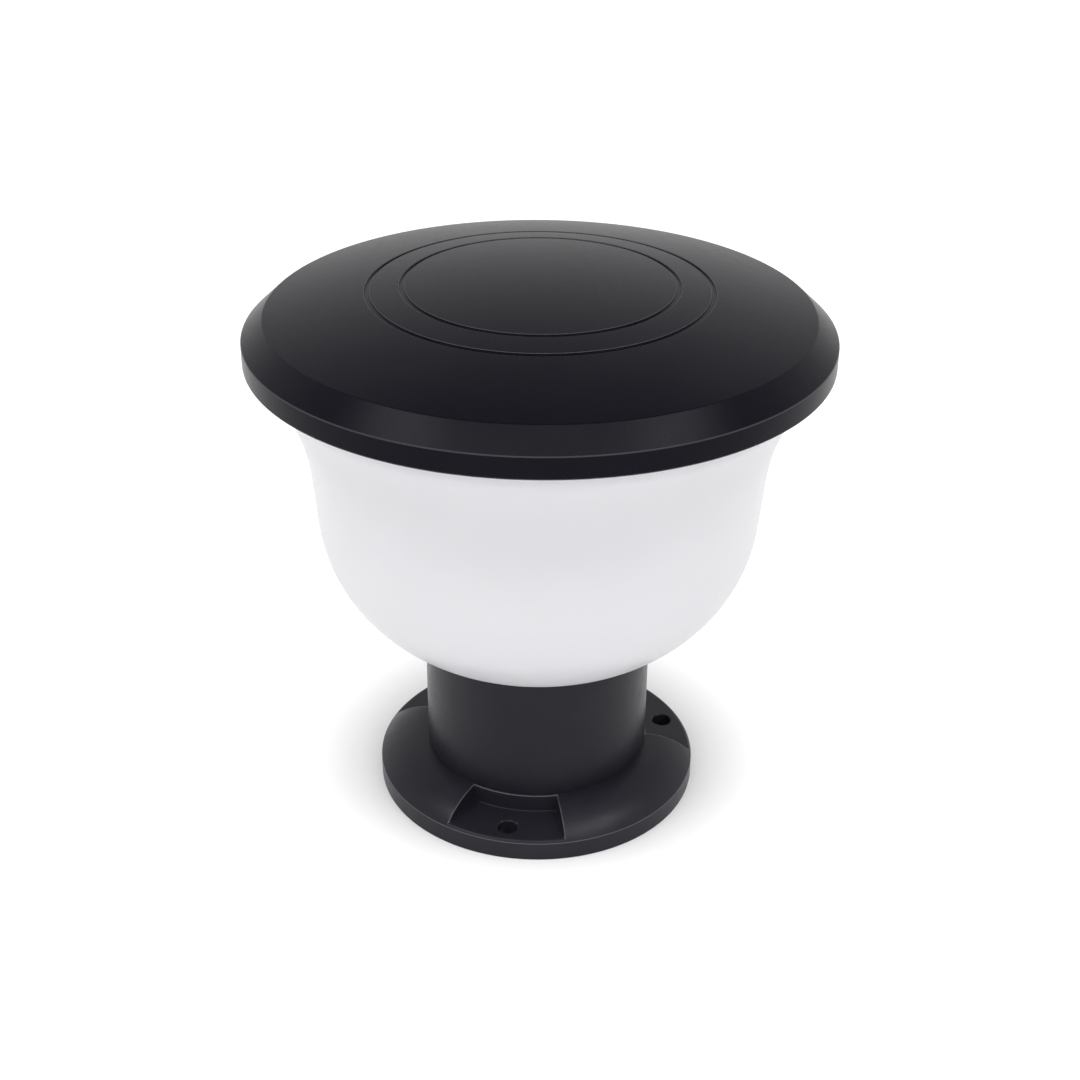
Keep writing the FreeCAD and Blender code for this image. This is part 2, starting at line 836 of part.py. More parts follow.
def plate_screws():
    screws = []
    for angle in port_turns:
        x, y = at_angle(port_place, angle)
        screws.append(pan_screw(plate_top + washer_t, plate_screw_l, m4_head_r, m4_head_h, m4_r,
                                m4_head_edge, x, y))
    return screws


def bracket_screw_x():
    return bracket_top_half + bracket_t + bracket_foot_l / 2


def lampholder_bracket():
    """Strip folded up from two feet to a raised seat."""
    foot_end = bracket_top_half + bracket_t + bracket_foot_l
    foot_top = plate_top + bracket_t
    outer = [(-foot_end, plate_top), (-bracket_top_half, plate_top),
             (-bracket_top_half, holder_z - bracket_t), (bracket_top_half, holder_z - bracket_t),
             (bracket_top_half, plate_top), (foot_end, plate_top), (foot_end, foot_top),
             (bracket_top_half + bracket_t, foot_top), (bracket_top_half + bracket_t, holder_z),
             (-bracket_top_half - bracket_t, holder_z), (-bracket_top_half - bracket_t, foot_top),
             (-foot_end, foot_top)]
    strip = moved(section(*outer).extrude(back * bracket_w), 0, -bracket_w / 2, 0)
    for x in (-bracket_screw_x(), bracket_screw_x()):
        strip = strip.cut(rod(m4_hole_r, plate_top - overrun, foot_top + overrun, x, 0))
    for x in (-holder_screw_x, holder_screw_x):
        strip = strip.cut(rod(m3_r + clamp_gap, plate_top, holder_z + overrun, x, 0))
    return strip


def bracket_screws():
    return [pan_screw(plate_top + bracket_t, bracket_screw_l, m4_head_r, m4_head_h, m4_r,
                      m4_head_edge, x, 0) for x in (-bracket_screw_x(), bracket_screw_x())]


def bracket_nuts():
    nuts = []
    for x in (-bracket_screw_x(), bracket_screw_x()):
        nut = hexagon(nut_across_flats, plate_low - nut_h, plate_low, x, 0)
        nuts.append(nut.cut(rod(m4_r + running_gap, plate_low - nut_h, plate_low, x, 0)))
    return nuts


def holder_pockets():
    """Space for a brass terminal and its wire at the foot's front side."""
    half = terminal_side / 2
    middle = holder_z + terminal_h
    return [block(x - half, x + half, -holder_foot_r - overrun,
                  -holder_foot_r + wire_entry + terminal_l, middle - half, middle + half)
            for x in (-terminal_x - half / 2, terminal_x + half / 2)]


def lampholder_body():
    floor = holder_z + socket_floor_h
    ledge = floor + shell_ledge_h
    top = holder_z + holder_h
    shell_pocket_r = shell_r + shell_wall + shell_gap
    step = holder_z + holder_foot_h
    body = lathe((0, holder_z), (holder_foot_r, holder_z), (holder_foot_r, step),
                 (holder_body_r, step + holder_step_h), (holder_body_r, top), (mouth_r, top),
                 (mouth_r, top - mouth_depth), (shell_pocket_r, top - mouth_depth),
                 (shell_pocket_r, ledge), (socket_floor_r, ledge), (socket_floor_r, floor), (0, floor))
    for pocket in holder_pockets():
        body = body.cut(pocket)
    for x in (-holder_screw_x, holder_screw_x):
        body = body.cut(rod(m3_r + running_gap, holder_z - overrun, holder_z + holder_screw_depth, x, 0))
    return body


def lampholder_terminals():
    half = terminal_side / 2 - clamp_gap
    middle = holder_z + terminal_h
    y = -holder_foot_r + wire_entry
    blocks = []
    for x in (-terminal_x - terminal_side / 4, terminal_x + terminal_side / 4):
        blocks.append(block(x - half, x + half, y, y + terminal_l - clamp_gap,
                            middle - half, middle + half))
    return blocks


def lampholder_screws():
    length = bracket_t + holder_screw_depth
    head_top = holder_z - bracket_t
    return [moved(upside_down(pan_screw(0, length, fixing_head_r, fixing_head_h, m3_r, 0, 0, 0), 0),
                  x, 0, head_top) for x in (-holder_screw_x, holder_screw_x)]


def lampholder_shell():
    ledge = holder_z + socket_floor_h + shell_ledge_h
    rim = ledge + shell_h - mouth_depth
    outer = shell_r + shell_wall
    return lathe((socket_floor_r, ledge), (outer, ledge), (outer, rim), (shell_r, rim),
                 (shell_r, ledge + shell_wall), (socket_floor_r, ledge + shell_wall))


def lampholder_contact():
    """Spring strip that rises from the socket's floor to a flat top."""
    floor = holder_z + socket_floor_h
    top = floor + leaf_rise
    outline = [(-leaf_half_l, floor), (-leaf_half_l / 2, floor), (-leaf_half_l / 4, floor + leaf_t),
               (leaf_half_l / 2, top - leaf_t), (leaf_half_l, top - leaf_t), (leaf_half_l, top),
               (-leaf_half_l / 4, top), (-leaf_half_l / 2, floor + leaf_t), (-leaf_half_l, floor + leaf_t)]
    return moved(section(*outline).extrude(back * leaf_w), 0, -leaf_w / 2, 0)


# Bulb

def bulb_levels():
    """Centre of the globe, joint of globe and housing, and top of the screw cap."""
    centre = tip_z + bulb_l - bulb_r
    joint = centre - housing_top_below_centre
    neck = tip_z + contact_h + insulator_h + screw_cap_l
    return centre, joint, neck


def joint_radius(r):
    return math.sqrt(r ** 2 - housing_top_below_centre ** 2)


def bulb_contact():
    stem_top = tip_z + contact_h + contact_stem_h
    return lathe((0, tip_z), (contact_r - contact_h / 2, tip_z), (contact_r, tip_z + contact_h),
                 (contact_stem_r, tip_z + contact_h), (contact_stem_r, stem_top), (0, stem_top))


def bulb_insulator():
    low = tip_z + contact_h
    top = low + insulator_h
    hole = contact_stem_r + running_gap
    return lathe((hole, low), (insulator_r, low), (insulator_top_r, top), (0, top),
                 (0, low + contact_stem_h + running_gap), (hole, low + contact_stem_h + running_gap))


def bulb_screw_cap():
    neck = bulb_levels()[2]
    low = neck - screw_cap_l
    inner = screw_cap_r - screw_cap_wall
    return lathe((0, low), (insulator_top_r, low), (screw_cap_r, low + screw_cap_r - insulator_top_r),
                 (screw_cap_r, neck), (inner, neck), (inner, low + screw_cap_r - insulator_top_r),
                 (insulator_top_r - screw_cap_wall, low + screw_cap_wall), (0, low + screw_cap_wall))


def bulb_housing():
    joint, neck = bulb_levels()[1:]
    top_r = joint_radius(bulb_r)
    shoulder = (bulb_neck_r + bulb_neck_step, neck + bulb_neck_rise)
    inner_shoulder = (shoulder[0] - housing_wall, shoulder[1])
    floor = neck + housing_wall
    return lathe((0, neck), (bulb_neck_r, neck), shoulder, (top_r, joint), (top_r - housing_wall, joint),
                 inner_shoulder, (bulb_neck_r - housing_wall, floor), (0, floor))


def board_level():
    return bulb_levels()[1] - globe_lip_h - board_t


def bulb_led_board():
    joint, neck = bulb_levels()[1:]
    low = board_level()
    side_low = neck + bulb_neck_rise
    slope = (joint_radius(bulb_r) - bulb_neck_r - bulb_neck_step) / (joint - side_low)
    r = joint_radius(bulb_r) - housing_wall - (joint - low) * slope - board_gap
    board = rod(r, low, low + board_t)
    chip = block(-chip_side / 2, chip_side / 2, chip_ring_r - chip_side / 2,
                 chip_ring_r + chip_side / 2, low + board_t - running_gap, low + board_t + chip_t)
    return board.fuse(around(chip, [full_turn * i / chip_count for i in range(chip_count)]))


def bulb_globe():
    """Frosted ball above the housing, with a lip that plugs into it."""
    centre, joint = bulb_levels()[:2]
    inner = bulb_r - globe_wall
    edge = (joint_radius(bulb_r), joint)
    inner_edge = (joint_radius(inner), joint)
    lip_r = joint_radius(bulb_r) - housing_wall - board_gap
    lip_low = joint - globe_lip_h + board_gap
    inner_lip_r = lip_r - globe_wall
    top = (0, centre + bulb_r)
    inner_top = (0, centre + inner)
    equator = (bulb_r, centre)
    inner_equator = (inner, centre)
    return lathe((inner_lip_r, lip_low), (lip_r - globe_lip_h / 2, lip_low), (lip_r, joint), edge,
                 arc_step(edge, equator, (0, centre)), arc_step(equator, top, (0, centre)), inner_top,
                 arc_step(inner_top, inner_equator, (0, centre)),
                 arc_step(inner_equator, inner_edge, (0, centre)), (inner_lip_r, joint))


# Cap

def dome_z(r):
    return dome_centre_z + math.sqrt(dome_radius ** 2 - r ** 2)


def unit(a, b):
    length = math.dist(a, b)
    return ((b[0] - a[0]) / length, (b[1] - a[1]) / length)


def cap_corners(inset):
    """Skirt top and dome edge of the cap, set in square to each of its faces."""
    skirt_top = (cap_r, cap_low + skirt_h)
    along = unit(skirt_top, (dome_r, dome_low))
    inner_r = cap_r - inset
    inner_z = skirt_top[1] - inset * (1 - along[1]) / -along[0]
    from_centre = inner_z - dome_centre_z
    half = inner_r * along[0] + from_centre * along[1]
    reach = (dome_radius - inset) ** 2 - inner_r ** 2 - from_centre ** 2
    step = -half + math.sqrt(half ** 2 + reach)
    return (inner_r, inner_z), (inner_r + step * along[0], inner_z + step * along[1])


def cap_solid():
    """The cap's outside as a filled body with rounded edges."""
    skirt_top, dome_edge = cap_corners(0)
    apex = (0, apex_z)
    body = lathe((0, cap_low), (cap_r, cap_low), skirt_top, dome_edge,
                 arc_step(dome_edge, apex, (0, dome_centre_z)))
    body = body.makeFillet(dome_edge_round, circle_edges(body, dome_r, dome_low))
    return body.makeFillet(skirt_edge_round, circle_edges(body, cap_r, cap_low)
                           + circle_edges(body, cap_r, cap_low + skirt_h))


def cap_inside():
    skirt_top, dome_edge = cap_corners(cap_wall)
    apex = (0, apex_z - cap_wall)
    return lathe((0, cap_low - overrun), (skirt_top[0], cap_low - overrun), skirt_top, dome_edge,
                 arc_step(dome_edge, apex, (0, dome_centre_z)))


def ring_groove(r):
    """Flat-bottomed groove round the dome at a radius."""
    half = groove_w / 2
    return lathe((r - half, dome_z(r - half) - groove_depth), (r + half, dome_z(r + half) - groove_depth),
                 (r + half, dome_z(r) + overrun), (r - half, dome_z(r) + overrun))


def cap_ribs():
    """Straight-edged ribs under the dome that meet in a ring round its centre."""
    depth = cap_wall + cap_rib_depth
    root = cap_wall / 4
    start = cap_hub_r - cap_hub_wall / 2
    end = ring_inner_r
    rib = section((start, dome_z(start) - depth), (end, dome_z(end) - depth),
                  (end, dome_z(end) - root), (start, dome_z(start) - root))
    rib = moved(rib.extrude(back * cap_rib_t), 0, -cap_rib_t / 2, 0)
    hub = pipe(cap_hub_r, cap_hub_r - cap_hub_wall, dome_z(cap_hub_r) - depth - cap_hub_drop,
               dome_z(cap_hub_r) - cap_wall / 2)
    return around(rib, [full_turn * i / cap_rib_count for i in range(cap_rib_count)]) + [hub]


def cap_cover():
    body = cap_solid().cut(cap_inside())
    bosses = []
    holes = []
    for i in range(cap_screw_count):
        x, y = at_angle(cap_screw_place, full_turn * (i + 0.5) / cap_screw_count)
        bosses.append(rod(cap_boss_r, ring_top, dome_z(cap_screw_place) - cap_wall / 2, x, y))
        holes.append(rod(m4_r + running_gap, ring_top - overrun, ring_top + cap_boss_hole_depth, x, y))
    body = body.fuse(cap_ribs() + bosses)
    return body.cut(holes + [ring_groove(groove_r_outer), ring_groove(groove_r_inner)])


def ring_lug_levels():
    top = collar_top - lug_below_rim - lug_h - lug_play
    low = cap_low + ring_foot_rise
    return low, top


def cap_ring():
    low, lug_top = ring_lug_levels()
    lip_low = ring_low - lip_h
    channel_in = gasket_in_r - cap_gasket_side
    channel_out = gasket_out_r + cap_gasket_side
    skirt_top, dome_edge = cap_corners(cap_wall + ring_bevel_gap)
    slope = (skirt_top[0] - dome_edge[0]) / (dome_edge[1] - skirt_top[1])
    bevel_r = skirt_top[0] - (ring_top - skirt_top[1]) * slope
    bevel_z = ring_top - (ring_outer_r - bevel_r) / slope
    body = lathe((ring_inner_r, ring_low), (channel_in - lip_w, ring_low), (channel_in - lip_w, lip_low),
                 (channel_in, lip_low), (channel_in, ring_low), (channel_out, ring_low),
                 (channel_out, lip_low), (channel_out + lip_w, lip_low), (channel_out + lip_w, ring_low),
                 (ring_bore_r, ring_low), (ring_bore_r, low), (ring_outer_r, low),
                 (ring_outer_r, bevel_z), (bevel_r, ring_top), (ring_inner_r, ring_top))
    lug = sector(collar_r + lug_tip_gap, ring_bore_r + ring_wall / 2, low, lug_top,
                 -twist_deg, lug_half_deg)
    body = body.fuse(around(lug, [full_turn * i / lug_count for i in range(lug_count)]))
    for i in range(cap_screw_count):
        x, y = at_angle(cap_screw_place, full_turn * (i + 0.5) / cap_screw_count)
        body = body.cut(rod(m4_hole_r, ring_low - overrun, ring_top + overrun, x, y))
    return body.removeSplitter()


def cap_ring_screws():
    screws = []
    for i in range(cap_screw_count):
        x, y = at_angle(cap_screw_place, full_turn * (i + 0.5) / cap_screw_count)
        screw = pan_screw(0, cap_screw_l, m4_head_r, m4_head_h, m4_r, m4_head_edge, 0, 0)
        screws.append(moved(upside_down(screw, 0), x, y, ring_low))
    return screws


def cap_gasket():
    return pipe(gasket_out_r, gasket_in_r, collar_top, ring_low)


os.makedirs("parts", exist_ok=True)
save("base_flange", base_flange())
save("base_gasket", base_gasket())
save("post_tube", post_tube())
save("base_screws", *base_screws())
save("gland_body", gland_body())
save("gland_washer", gland_washer())
save("gland_locknut", gland_locknut())
save("gland_seal", gland_seal())
save("gland_nut", gland_nut())
save("terminal_block", terminal_block())
save("terminal_clamps", *terminal_clamps())
save("terminal_screws", *terminal_screws())
save("terminal_fixing_screws", *terminal_fixing_screws())
save("earth_tag", earth_tag())
save("earth_screw", earth_screw())
save("live_wire", live_wire())
save("neutral_wire", neutral_wire())
save("earth_wire", earth_wire())
save("neck_gasket", neck_gasket())
save("shade", shade())
save("holder_plate", holder_plate())
save("plate_washers", *plate_washers())
save("plate_screws", *plate_screws())
save("wire_grommet", wire_grommet())
save("lampholder_bracket", lampholder_bracket())
save("bracket_screws", *bracket_screws())
save("bracket_nuts", *bracket_nuts())
save("lampholder_body", lampholder_body())
save("lampholder_terminals", *lampholder_terminals())
save("lampholder_screws", *lampholder_screws())
save("lampholder_shell", lampholder_shell())
save("lampholder_contact", lampholder_contact())
save("bulb_contact", bulb_contact())
save("bulb_insulator", bulb_insulator())
save("bulb_screw_cap", bulb_screw_cap())
save("bulb_housing", bulb_housing())
save("bulb_led_board", bulb_led_board())
save("bulb_globe", bulb_globe())
save("cap_gasket", cap_gasket())
save("cap_ring", cap_ring())
save("cap_ring_screws", *cap_ring_screws())
save("cap_cover", cap_cover())
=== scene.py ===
import json
import math

import bmesh
import bpy
from mathutils import Matrix, Vector


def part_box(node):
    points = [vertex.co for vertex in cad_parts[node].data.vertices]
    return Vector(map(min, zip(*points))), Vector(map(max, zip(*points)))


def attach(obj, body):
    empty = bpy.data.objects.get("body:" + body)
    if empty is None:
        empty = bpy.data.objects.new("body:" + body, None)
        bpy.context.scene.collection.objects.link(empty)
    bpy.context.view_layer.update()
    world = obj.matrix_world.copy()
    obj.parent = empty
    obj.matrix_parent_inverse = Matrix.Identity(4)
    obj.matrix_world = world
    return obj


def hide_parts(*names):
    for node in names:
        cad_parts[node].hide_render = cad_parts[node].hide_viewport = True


# Looks of the garden pillar light. Metres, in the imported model's own frame.
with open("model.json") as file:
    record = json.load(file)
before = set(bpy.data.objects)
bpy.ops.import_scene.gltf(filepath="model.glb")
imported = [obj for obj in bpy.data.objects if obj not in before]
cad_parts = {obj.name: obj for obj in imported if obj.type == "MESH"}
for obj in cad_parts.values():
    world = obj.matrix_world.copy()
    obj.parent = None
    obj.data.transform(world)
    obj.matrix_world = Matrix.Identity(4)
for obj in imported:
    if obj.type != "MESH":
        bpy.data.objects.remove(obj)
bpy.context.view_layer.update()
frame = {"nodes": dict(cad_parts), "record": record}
nodes = frame["nodes"]
MM = 0.001
FULL_TURN = 2 * math.pi

# Camera, at the photograph's view
camera_place = (0.0, -665.15 * MM, 490.49 * MM)
camera_pitch_deg = 28.950
camera_yaw_deg = 0.0665
camera_roll_deg = 0.526
camera_lens_mm = 56.138
camera_sensor_mm = 36.0
camera_near = 0.01


def make_camera():
    yaw, pitch, roll = (math.radians(a) for a in (camera_yaw_deg, camera_pitch_deg, camera_roll_deg))
    ahead = Vector((math.sin(yaw), math.cos(yaw), 0))
    right = Vector((math.cos(yaw), -math.sin(yaw), 0))
    up = Vector((0, 0, 1))
    forward = ahead * math.cos(pitch) - up * math.sin(pitch)
    rise = ahead * math.sin(pitch) + up * math.cos(pitch)
    axes = (right * math.cos(roll) + rise * math.sin(roll),
            rise * math.cos(roll) - right * math.sin(roll), -forward)
    data = bpy.data.cameras.new("camera")
    data.lens = camera_lens_mm
    data.sensor_width = camera_sensor_mm
    data.clip_start = camera_near
    camera = bpy.data.objects.new("camera", data)
    camera.matrix_world = Matrix.Translation(camera_place) @ Matrix(axes).transposed().to_4x4()
    bpy.context.scene.collection.objects.link(camera)
    bpy.context.scene.camera = camera


# Materials

noise_low = 0.3
noise_high = 0.7
tone_detail = 4.0
rough_detail = 3.0
rough_finer = 5
grain_detail = 2.0
opal_depth = 0.006


def new_material(name):
    material = bpy.data.materials.new(name)
    material.use_nodes = True
    tree = material.node_tree
    return material, tree, tree.nodes["Principled BSDF"]


def link(tree, out, into):
    tree.links.new(out, into)


def noise(tree, scale, detail, stretch):
    """Noise in the object's own coordinates, with features of about 1 / scale metres."""
    place = tree.nodes.new("ShaderNodeTexCoord")
    mapping = tree.nodes.new("ShaderNodeMapping")
    mapping.inputs["Scale"].default_value = stretch
    texture = tree.nodes.new("ShaderNodeTexNoise")
    texture.inputs["Scale"].default_value = scale
    texture.inputs["Detail"].default_value = detail
    link(tree, place.outputs["Object"], mapping.inputs["Vector"])
    link(tree, mapping.outputs["Vector"], texture.inputs["Vector"])
    return texture.outputs["Fac"]


def ramp(tree, value, start, end, low, high, interpolation="LINEAR"):
    """Maps a value from one range to another."""
    ranger = tree.nodes.new("ShaderNodeMapRange")
    ranger.interpolation_type = interpolation
    for name, number in (("From Min", start), ("From Max", end), ("To Min", low), ("To Max", high)):
        ranger.inputs[name].default_value = number
    link(tree, value, ranger.inputs["Value"])
    return ranger.outputs["Result"]


def spread(tree, value, low, high):
    """Maps noise round its middle to a range of plain values."""
    return ramp(tree, value, noise_low, noise_high, low, high)


def maths(tree, operation, first, second):
    node = tree.nodes.new("ShaderNodeMath")
    node.operation = operation
    link(tree, first, node.inputs[0])
    link(tree, second, node.inputs[1])
    return node.outputs["Value"]


def tint(tree, value, dark, light):
    """Colour between two tones by a value from 0 to 1."""
    mix = tree.nodes.new("ShaderNodeMix")
    mix.data_type = "RGBA"
    mix.inputs["A"].default_value = (*dark, 1)
    mix.inputs["B"].default_value = (*light, 1)
    link(tree, value, mix.inputs["Factor"])
    return mix.outputs["Result"]


def bump(tree, shader, layers):
    """Stacks bumps on the shader's normal: each layer is a height and its depth in metres."""
    before = None
    for height, depth in layers:
        node = tree.nodes.new("ShaderNodeBump")
        node.inputs["Strength"].default_value = 1
        node.inputs["Distance"].default_value = depth
        link(tree, height, node.inputs["Height"])
        if before is not None:
            link(tree, before, node.inputs["Normal"])
        before = node.outputs["Normal"]
    link(tree, before, shader.inputs["Normal"])


def painted_edge_highlight(tree, colour, edge):
    """Painted highlight: turns a colour towards a lighter edge tone where mark_edges has painted a bend."""
    painted = tree.nodes.new("ShaderNodeAttribute")
    painted.attribute_name = "edge"
    mix = tree.nodes.new("ShaderNodeMix")
    mix.data_type = "RGBA"
    mix.inputs["B"].default_value = (*edge, 1)
    link(tree, colour, mix.inputs["A"])
    link(tree, painted.outputs["Fac"], mix.inputs["Factor"])
    return mix.outputs["Result"]


def finish_of(name, dark, light, rough, metallic=0.0, specular=0.5, blotch=60, grain=(),
              stretch=(1, 1, 1), edge=None):
    """One principled finish: a slow drift of tone, a drift of roughness, grain in layers of
    (feature scale, depth), and a painted highlight, a lighter tone, on its rounded edges."""
    material, tree, shader = new_material(name)
    shader.inputs["Metallic"].default_value = metallic
    shader.inputs["Specular IOR Level"].default_value = specular
    tone = spread(tree, noise(tree, blotch, tone_detail, stretch), 0.0, 1.0)
    colour = tint(tree, tone, dark, light)
    # Painted highlight: rounded edges take the lighter edge tone.
    link(tree, painted_edge_highlight(tree, colour, edge) if edge else colour, shader.inputs["Base Color"])
    gloss = noise(tree, blotch * rough_finer, rough_detail, stretch)
    link(tree, spread(tree, gloss, *rough), shader.inputs["Roughness"])
    bump(tree, shader, [(noise(tree, scale, grain_detail, stretch), depth) for scale, depth in grain])
    return material


def make_materials():
    made = {}
    # The edge colours of the black finishes are painted highlights on rounded edges.
    made["cast_black"] = finish_of("cast_black", (0.0130, 0.0125, 0.0180), (0.0162, 0.0156, 0.0215),
                                   (0.29, 0.37), specular=0.17, blotch=45,
                                   grain=((2600, 0.000010), (700, 0.000004)),
                                   edge=(0.082, 0.080, 0.090))
    # Darker copy of the cast black for the cap: its lower colour is painted shade.
    made["cap_black_shaded"] = finish_of("cap_black_shaded", (0.0034, 0.0030, 0.0066), (0.0046, 0.0042, 0.0082),
                                  (0.27, 0.292), specular=0.065, blotch=45,
                                  grain=((2600, 0.000002),), edge=(0.056, 0.054, 0.062))
    made["tube_black"] = finish_of("tube_black", (0.0100, 0.0094, 0.0142), (0.0125, 0.0118, 0.0170),
                                   (0.28, 0.36), specular=0.16, blotch=45,
                                   grain=((2600, 0.000008), (700, 0.000003)),
                                   edge=(0.050, 0.048, 0.056))
    made["opal_white"] = finish_of("opal_white", (0.812, 0.802, 0.860), (0.828, 0.818, 0.876),
                                   (0.30, 0.36), blotch=14, grain=((900, 0.000004),))
    opal = made["opal_white"].node_tree.nodes["Principled BSDF"]
    opal.inputs["Subsurface Weight"].default_value = 1.0
    opal.inputs["Subsurface Radius"].default_value = (1, 1, 1)
    opal.inputs["Subsurface Scale"].default_value = opal_depth
    made["steel_zinc"] = finish_of("steel_zinc", (0.52, 0.53, 0.54), (0.66, 0.65, 0.60),
                                   (0.28, 0.42), metallic=1.0, blotch=180,
                                   grain=((3000, 0.000006),))
    made["black_rubber"] = finish_of("black_rubber", (0.018, 0.018, 0.018), (0.030, 0.030, 0.030),
                                     (0.70, 0.85), blotch=200, grain=((4000, 0.00003),))
    made["grey_silicone"] = finish_of("grey_silicone", (0.40, 0.40, 0.41), (0.46, 0.46, 0.46),
                                      (0.50, 0.62), blotch=120, grain=((3000, 0.00001),))
    made["black_nylon"] = finish_of("black_nylon", (0.022, 0.022, 0.025), (0.034, 0.034, 0.037),
                                    (0.46, 0.58), blotch=150, grain=((3500, 0.00002),))
    made["white_nylon"] = finish_of("white_nylon", (0.78, 0.77, 0.73), (0.84, 0.83, 0.80),
                                    (0.42, 0.54), blotch=150, grain=((3000, 0.00001),))
    made["brass"] = finish_of("brass", (0.66, 0.48, 0.20), (0.78, 0.60, 0.28), (0.22, 0.36),
                              metallic=1.0, blotch=250, grain=((3500, 0.000006),))
    made["nickel"] = finish_of("nickel", (0.62, 0.60, 0.56), (0.74, 0.72, 0.68), (0.16, 0.28),
                               metallic=1.0, blotch=200, grain=((2500, 0.000005),))
    made["porcelain"] = finish_of("porcelain", (0.84, 0.83, 0.79), (0.88, 0.87, 0.84), (0.10, 0.18),
                                  blotch=80, grain=((500, 0.00001),))
    made["bulb_white"] = finish_of("bulb_white", (0.84, 0.84, 0.83), (0.88, 0.88, 0.87), (0.38, 0.48),
                                   blotch=60, grain=((3500, 0.000006),))
    made["black_glass"] = finish_of("black_glass", (0.012, 0.012, 0.016), (0.02, 0.02, 0.025),
                                    (0.06, 0.12), blotch=120, grain=((400, 0.00001),))
    made["wire_brown"] = finish_of("wire_brown", (0.13, 0.052, 0.024), (0.17, 0.070, 0.033),
                                   (0.42, 0.52), blotch=300, grain=((3000, 0.00001),))
    made["wire_blue"] = finish_of("wire_blue", (0.02, 0.075, 0.26), (0.03, 0.095, 0.32),
                                  (0.42, 0.52), blotch=300, grain=((3000, 0.00001),))
    made["wire_earth"] = finish_of("wire_earth", (0.16, 0.30, 0.03), (0.20, 0.36, 0.05),
                                   (0.42, 0.52), blotch=300, grain=((3000, 0.00001),))
    made["aluminium"] = finish_of("aluminium", (0.66, 0.66, 0.67), (0.74, 0.74, 0.75), (0.30, 0.42),
                                  metallic=1.0, blotch=200, grain=((3000, 0.000006),))
    return made


# Stage and light

floor_side = 60.0
floor_white = 0.86
floor_glow = 0.44
far_glow = 0.08
# Painted shadow: the floor's lift to white fades in between these distances from the axis, leaving a darker
# ring round the base.
glow_start = 0.07
glow_full = 0.12
far_start = 0.6
far_full = 2.5
sky_low_deg = 24.0
sky_high_deg = 60.0
sky_bright = 0.80
sky_seen = 0.20
sky_dim = 0.34


def floor_material():
    """White floor that keeps the shadow; what the camera and mirrors see of it is lifted to white, except
    near the base, where a painted shadow ring is left.
    """
    material = bpy.data.materials.new("stage_floor")
    material.use_nodes = True
    tree = material.node_tree
    tree.nodes.clear()
    diffuse = tree.nodes.new("ShaderNodeBsdfDiffuse")
    diffuse.inputs["Color"].default_value = (floor_white, floor_white, floor_white, 1)
    glow = tree.nodes.new("ShaderNodeEmission")
    glow.inputs["Color"].default_value = (1, 1, 1, 1)
    place = tree.nodes.new("ShaderNodeTexCoord")
    reach = tree.nodes.new("ShaderNodeVectorMath")
    reach.operation = "LENGTH"
    link(tree, place.outputs["Object"], reach.inputs[0])
    # Painted shadow ring round the base: no lift near the axis.
    near = ramp(tree, reach.outputs["Value"], glow_start, glow_full, 0, floor_glow)
    far = ramp(tree, reach.outputs["Value"], far_start, far_full, 0, far_glow)
    lift = maths(tree, "MULTIPLY", maths(tree, "ADD", near, far), seen_directly(tree))
    link(tree, lift, glow.inputs["Strength"])
    add = tree.nodes.new("ShaderNodeAddShader")
    out = tree.nodes.new("ShaderNodeOutputMaterial")
    link(tree, diffuse.outputs["BSDF"], add.inputs[0])
    link(tree, glow.outputs["Emission"], add.inputs[1])
    link(tree, add.outputs["Shader"], out.inputs["Surface"])
    return material


def seen_directly(tree):
    """1 for camera, glossy and transmission rays, and 0 for the light on the object."""
    path = tree.nodes.new("ShaderNodeLightPath").outputs
    mirrored = maths(tree, "MAXIMUM", path["Is Glossy Ray"], path["Is Transmission Ray"])
    return maths(tree, "MAXIMUM", path["Is Camera Ray"], mirrored)


def make_stage():
    mesh = bpy.data.meshes.new("stage_floor")
    half = floor_side / 2
    mesh.from_pydata([(-half, -half, 0), (half, -half, 0), (half, half, 0), (-half, half, 0)], [],
                     [(0, 1, 2, 3)])
    floor = bpy.data.objects.new("stage_floor", mesh)
    mesh.materials.append(floor_material())
    bpy.context.scene.collection.objects.link(floor)


def make_world():
    """Pale studio, dimmer overhead, with a white horizon for what the camera and mirrors see."""
    world = bpy.data.worlds.new("studio")
    bpy.context.scene.world = world
    world.use_nodes = True
    tree = world.node_tree
    tree.nodes.clear()
    place = tree.nodes.new("ShaderNodeTexCoord")
    split = tree.nodes.new("ShaderNodeSeparateXYZ")
    link(tree, place.outputs["Generated"], split.inputs["Vector"])
    low, high = (math.sin(math.radians(a)) for a in (sky_low_deg, sky_high_deg))
    light = ramp(tree, split.outputs["Z"], low, high, sky_bright, sky_dim, "SMOOTHSTEP")
    seen = ramp(tree, split.outputs["Z"], low, high, sky_seen, 0, "SMOOTHSTEP")
    background = tree.nodes.new("ShaderNodeBackground")
    background.inputs["Color"].default_value = (1, 1, 1, 1)
    link(tree, maths(tree, "ADD", light, maths(tree, "MULTIPLY", seen, seen_directly(tree))),
         background.inputs["Strength"])
    out = tree.nodes.new("ShaderNodeOutputWorld")
    link(tree, background.outputs["Background"], out.inputs["Surface"])


def softbox(name, place, target, width, height, power):
    data = bpy.data.lights.new(name, "AREA")
    data.shape = "RECTANGLE"
    data.size = width
    data.size_y = height
    data.energy = power
    lamp = bpy.data.objects.new(name, data)
    lamp.location = place
    lamp.rotation_mode = "QUATERNION"
    lamp.rotation_quaternion = (Vector(place) - Vector(target)).to_track_quat("Z", "Y")
    bpy.context.scene.collection.objects.link(lamp)


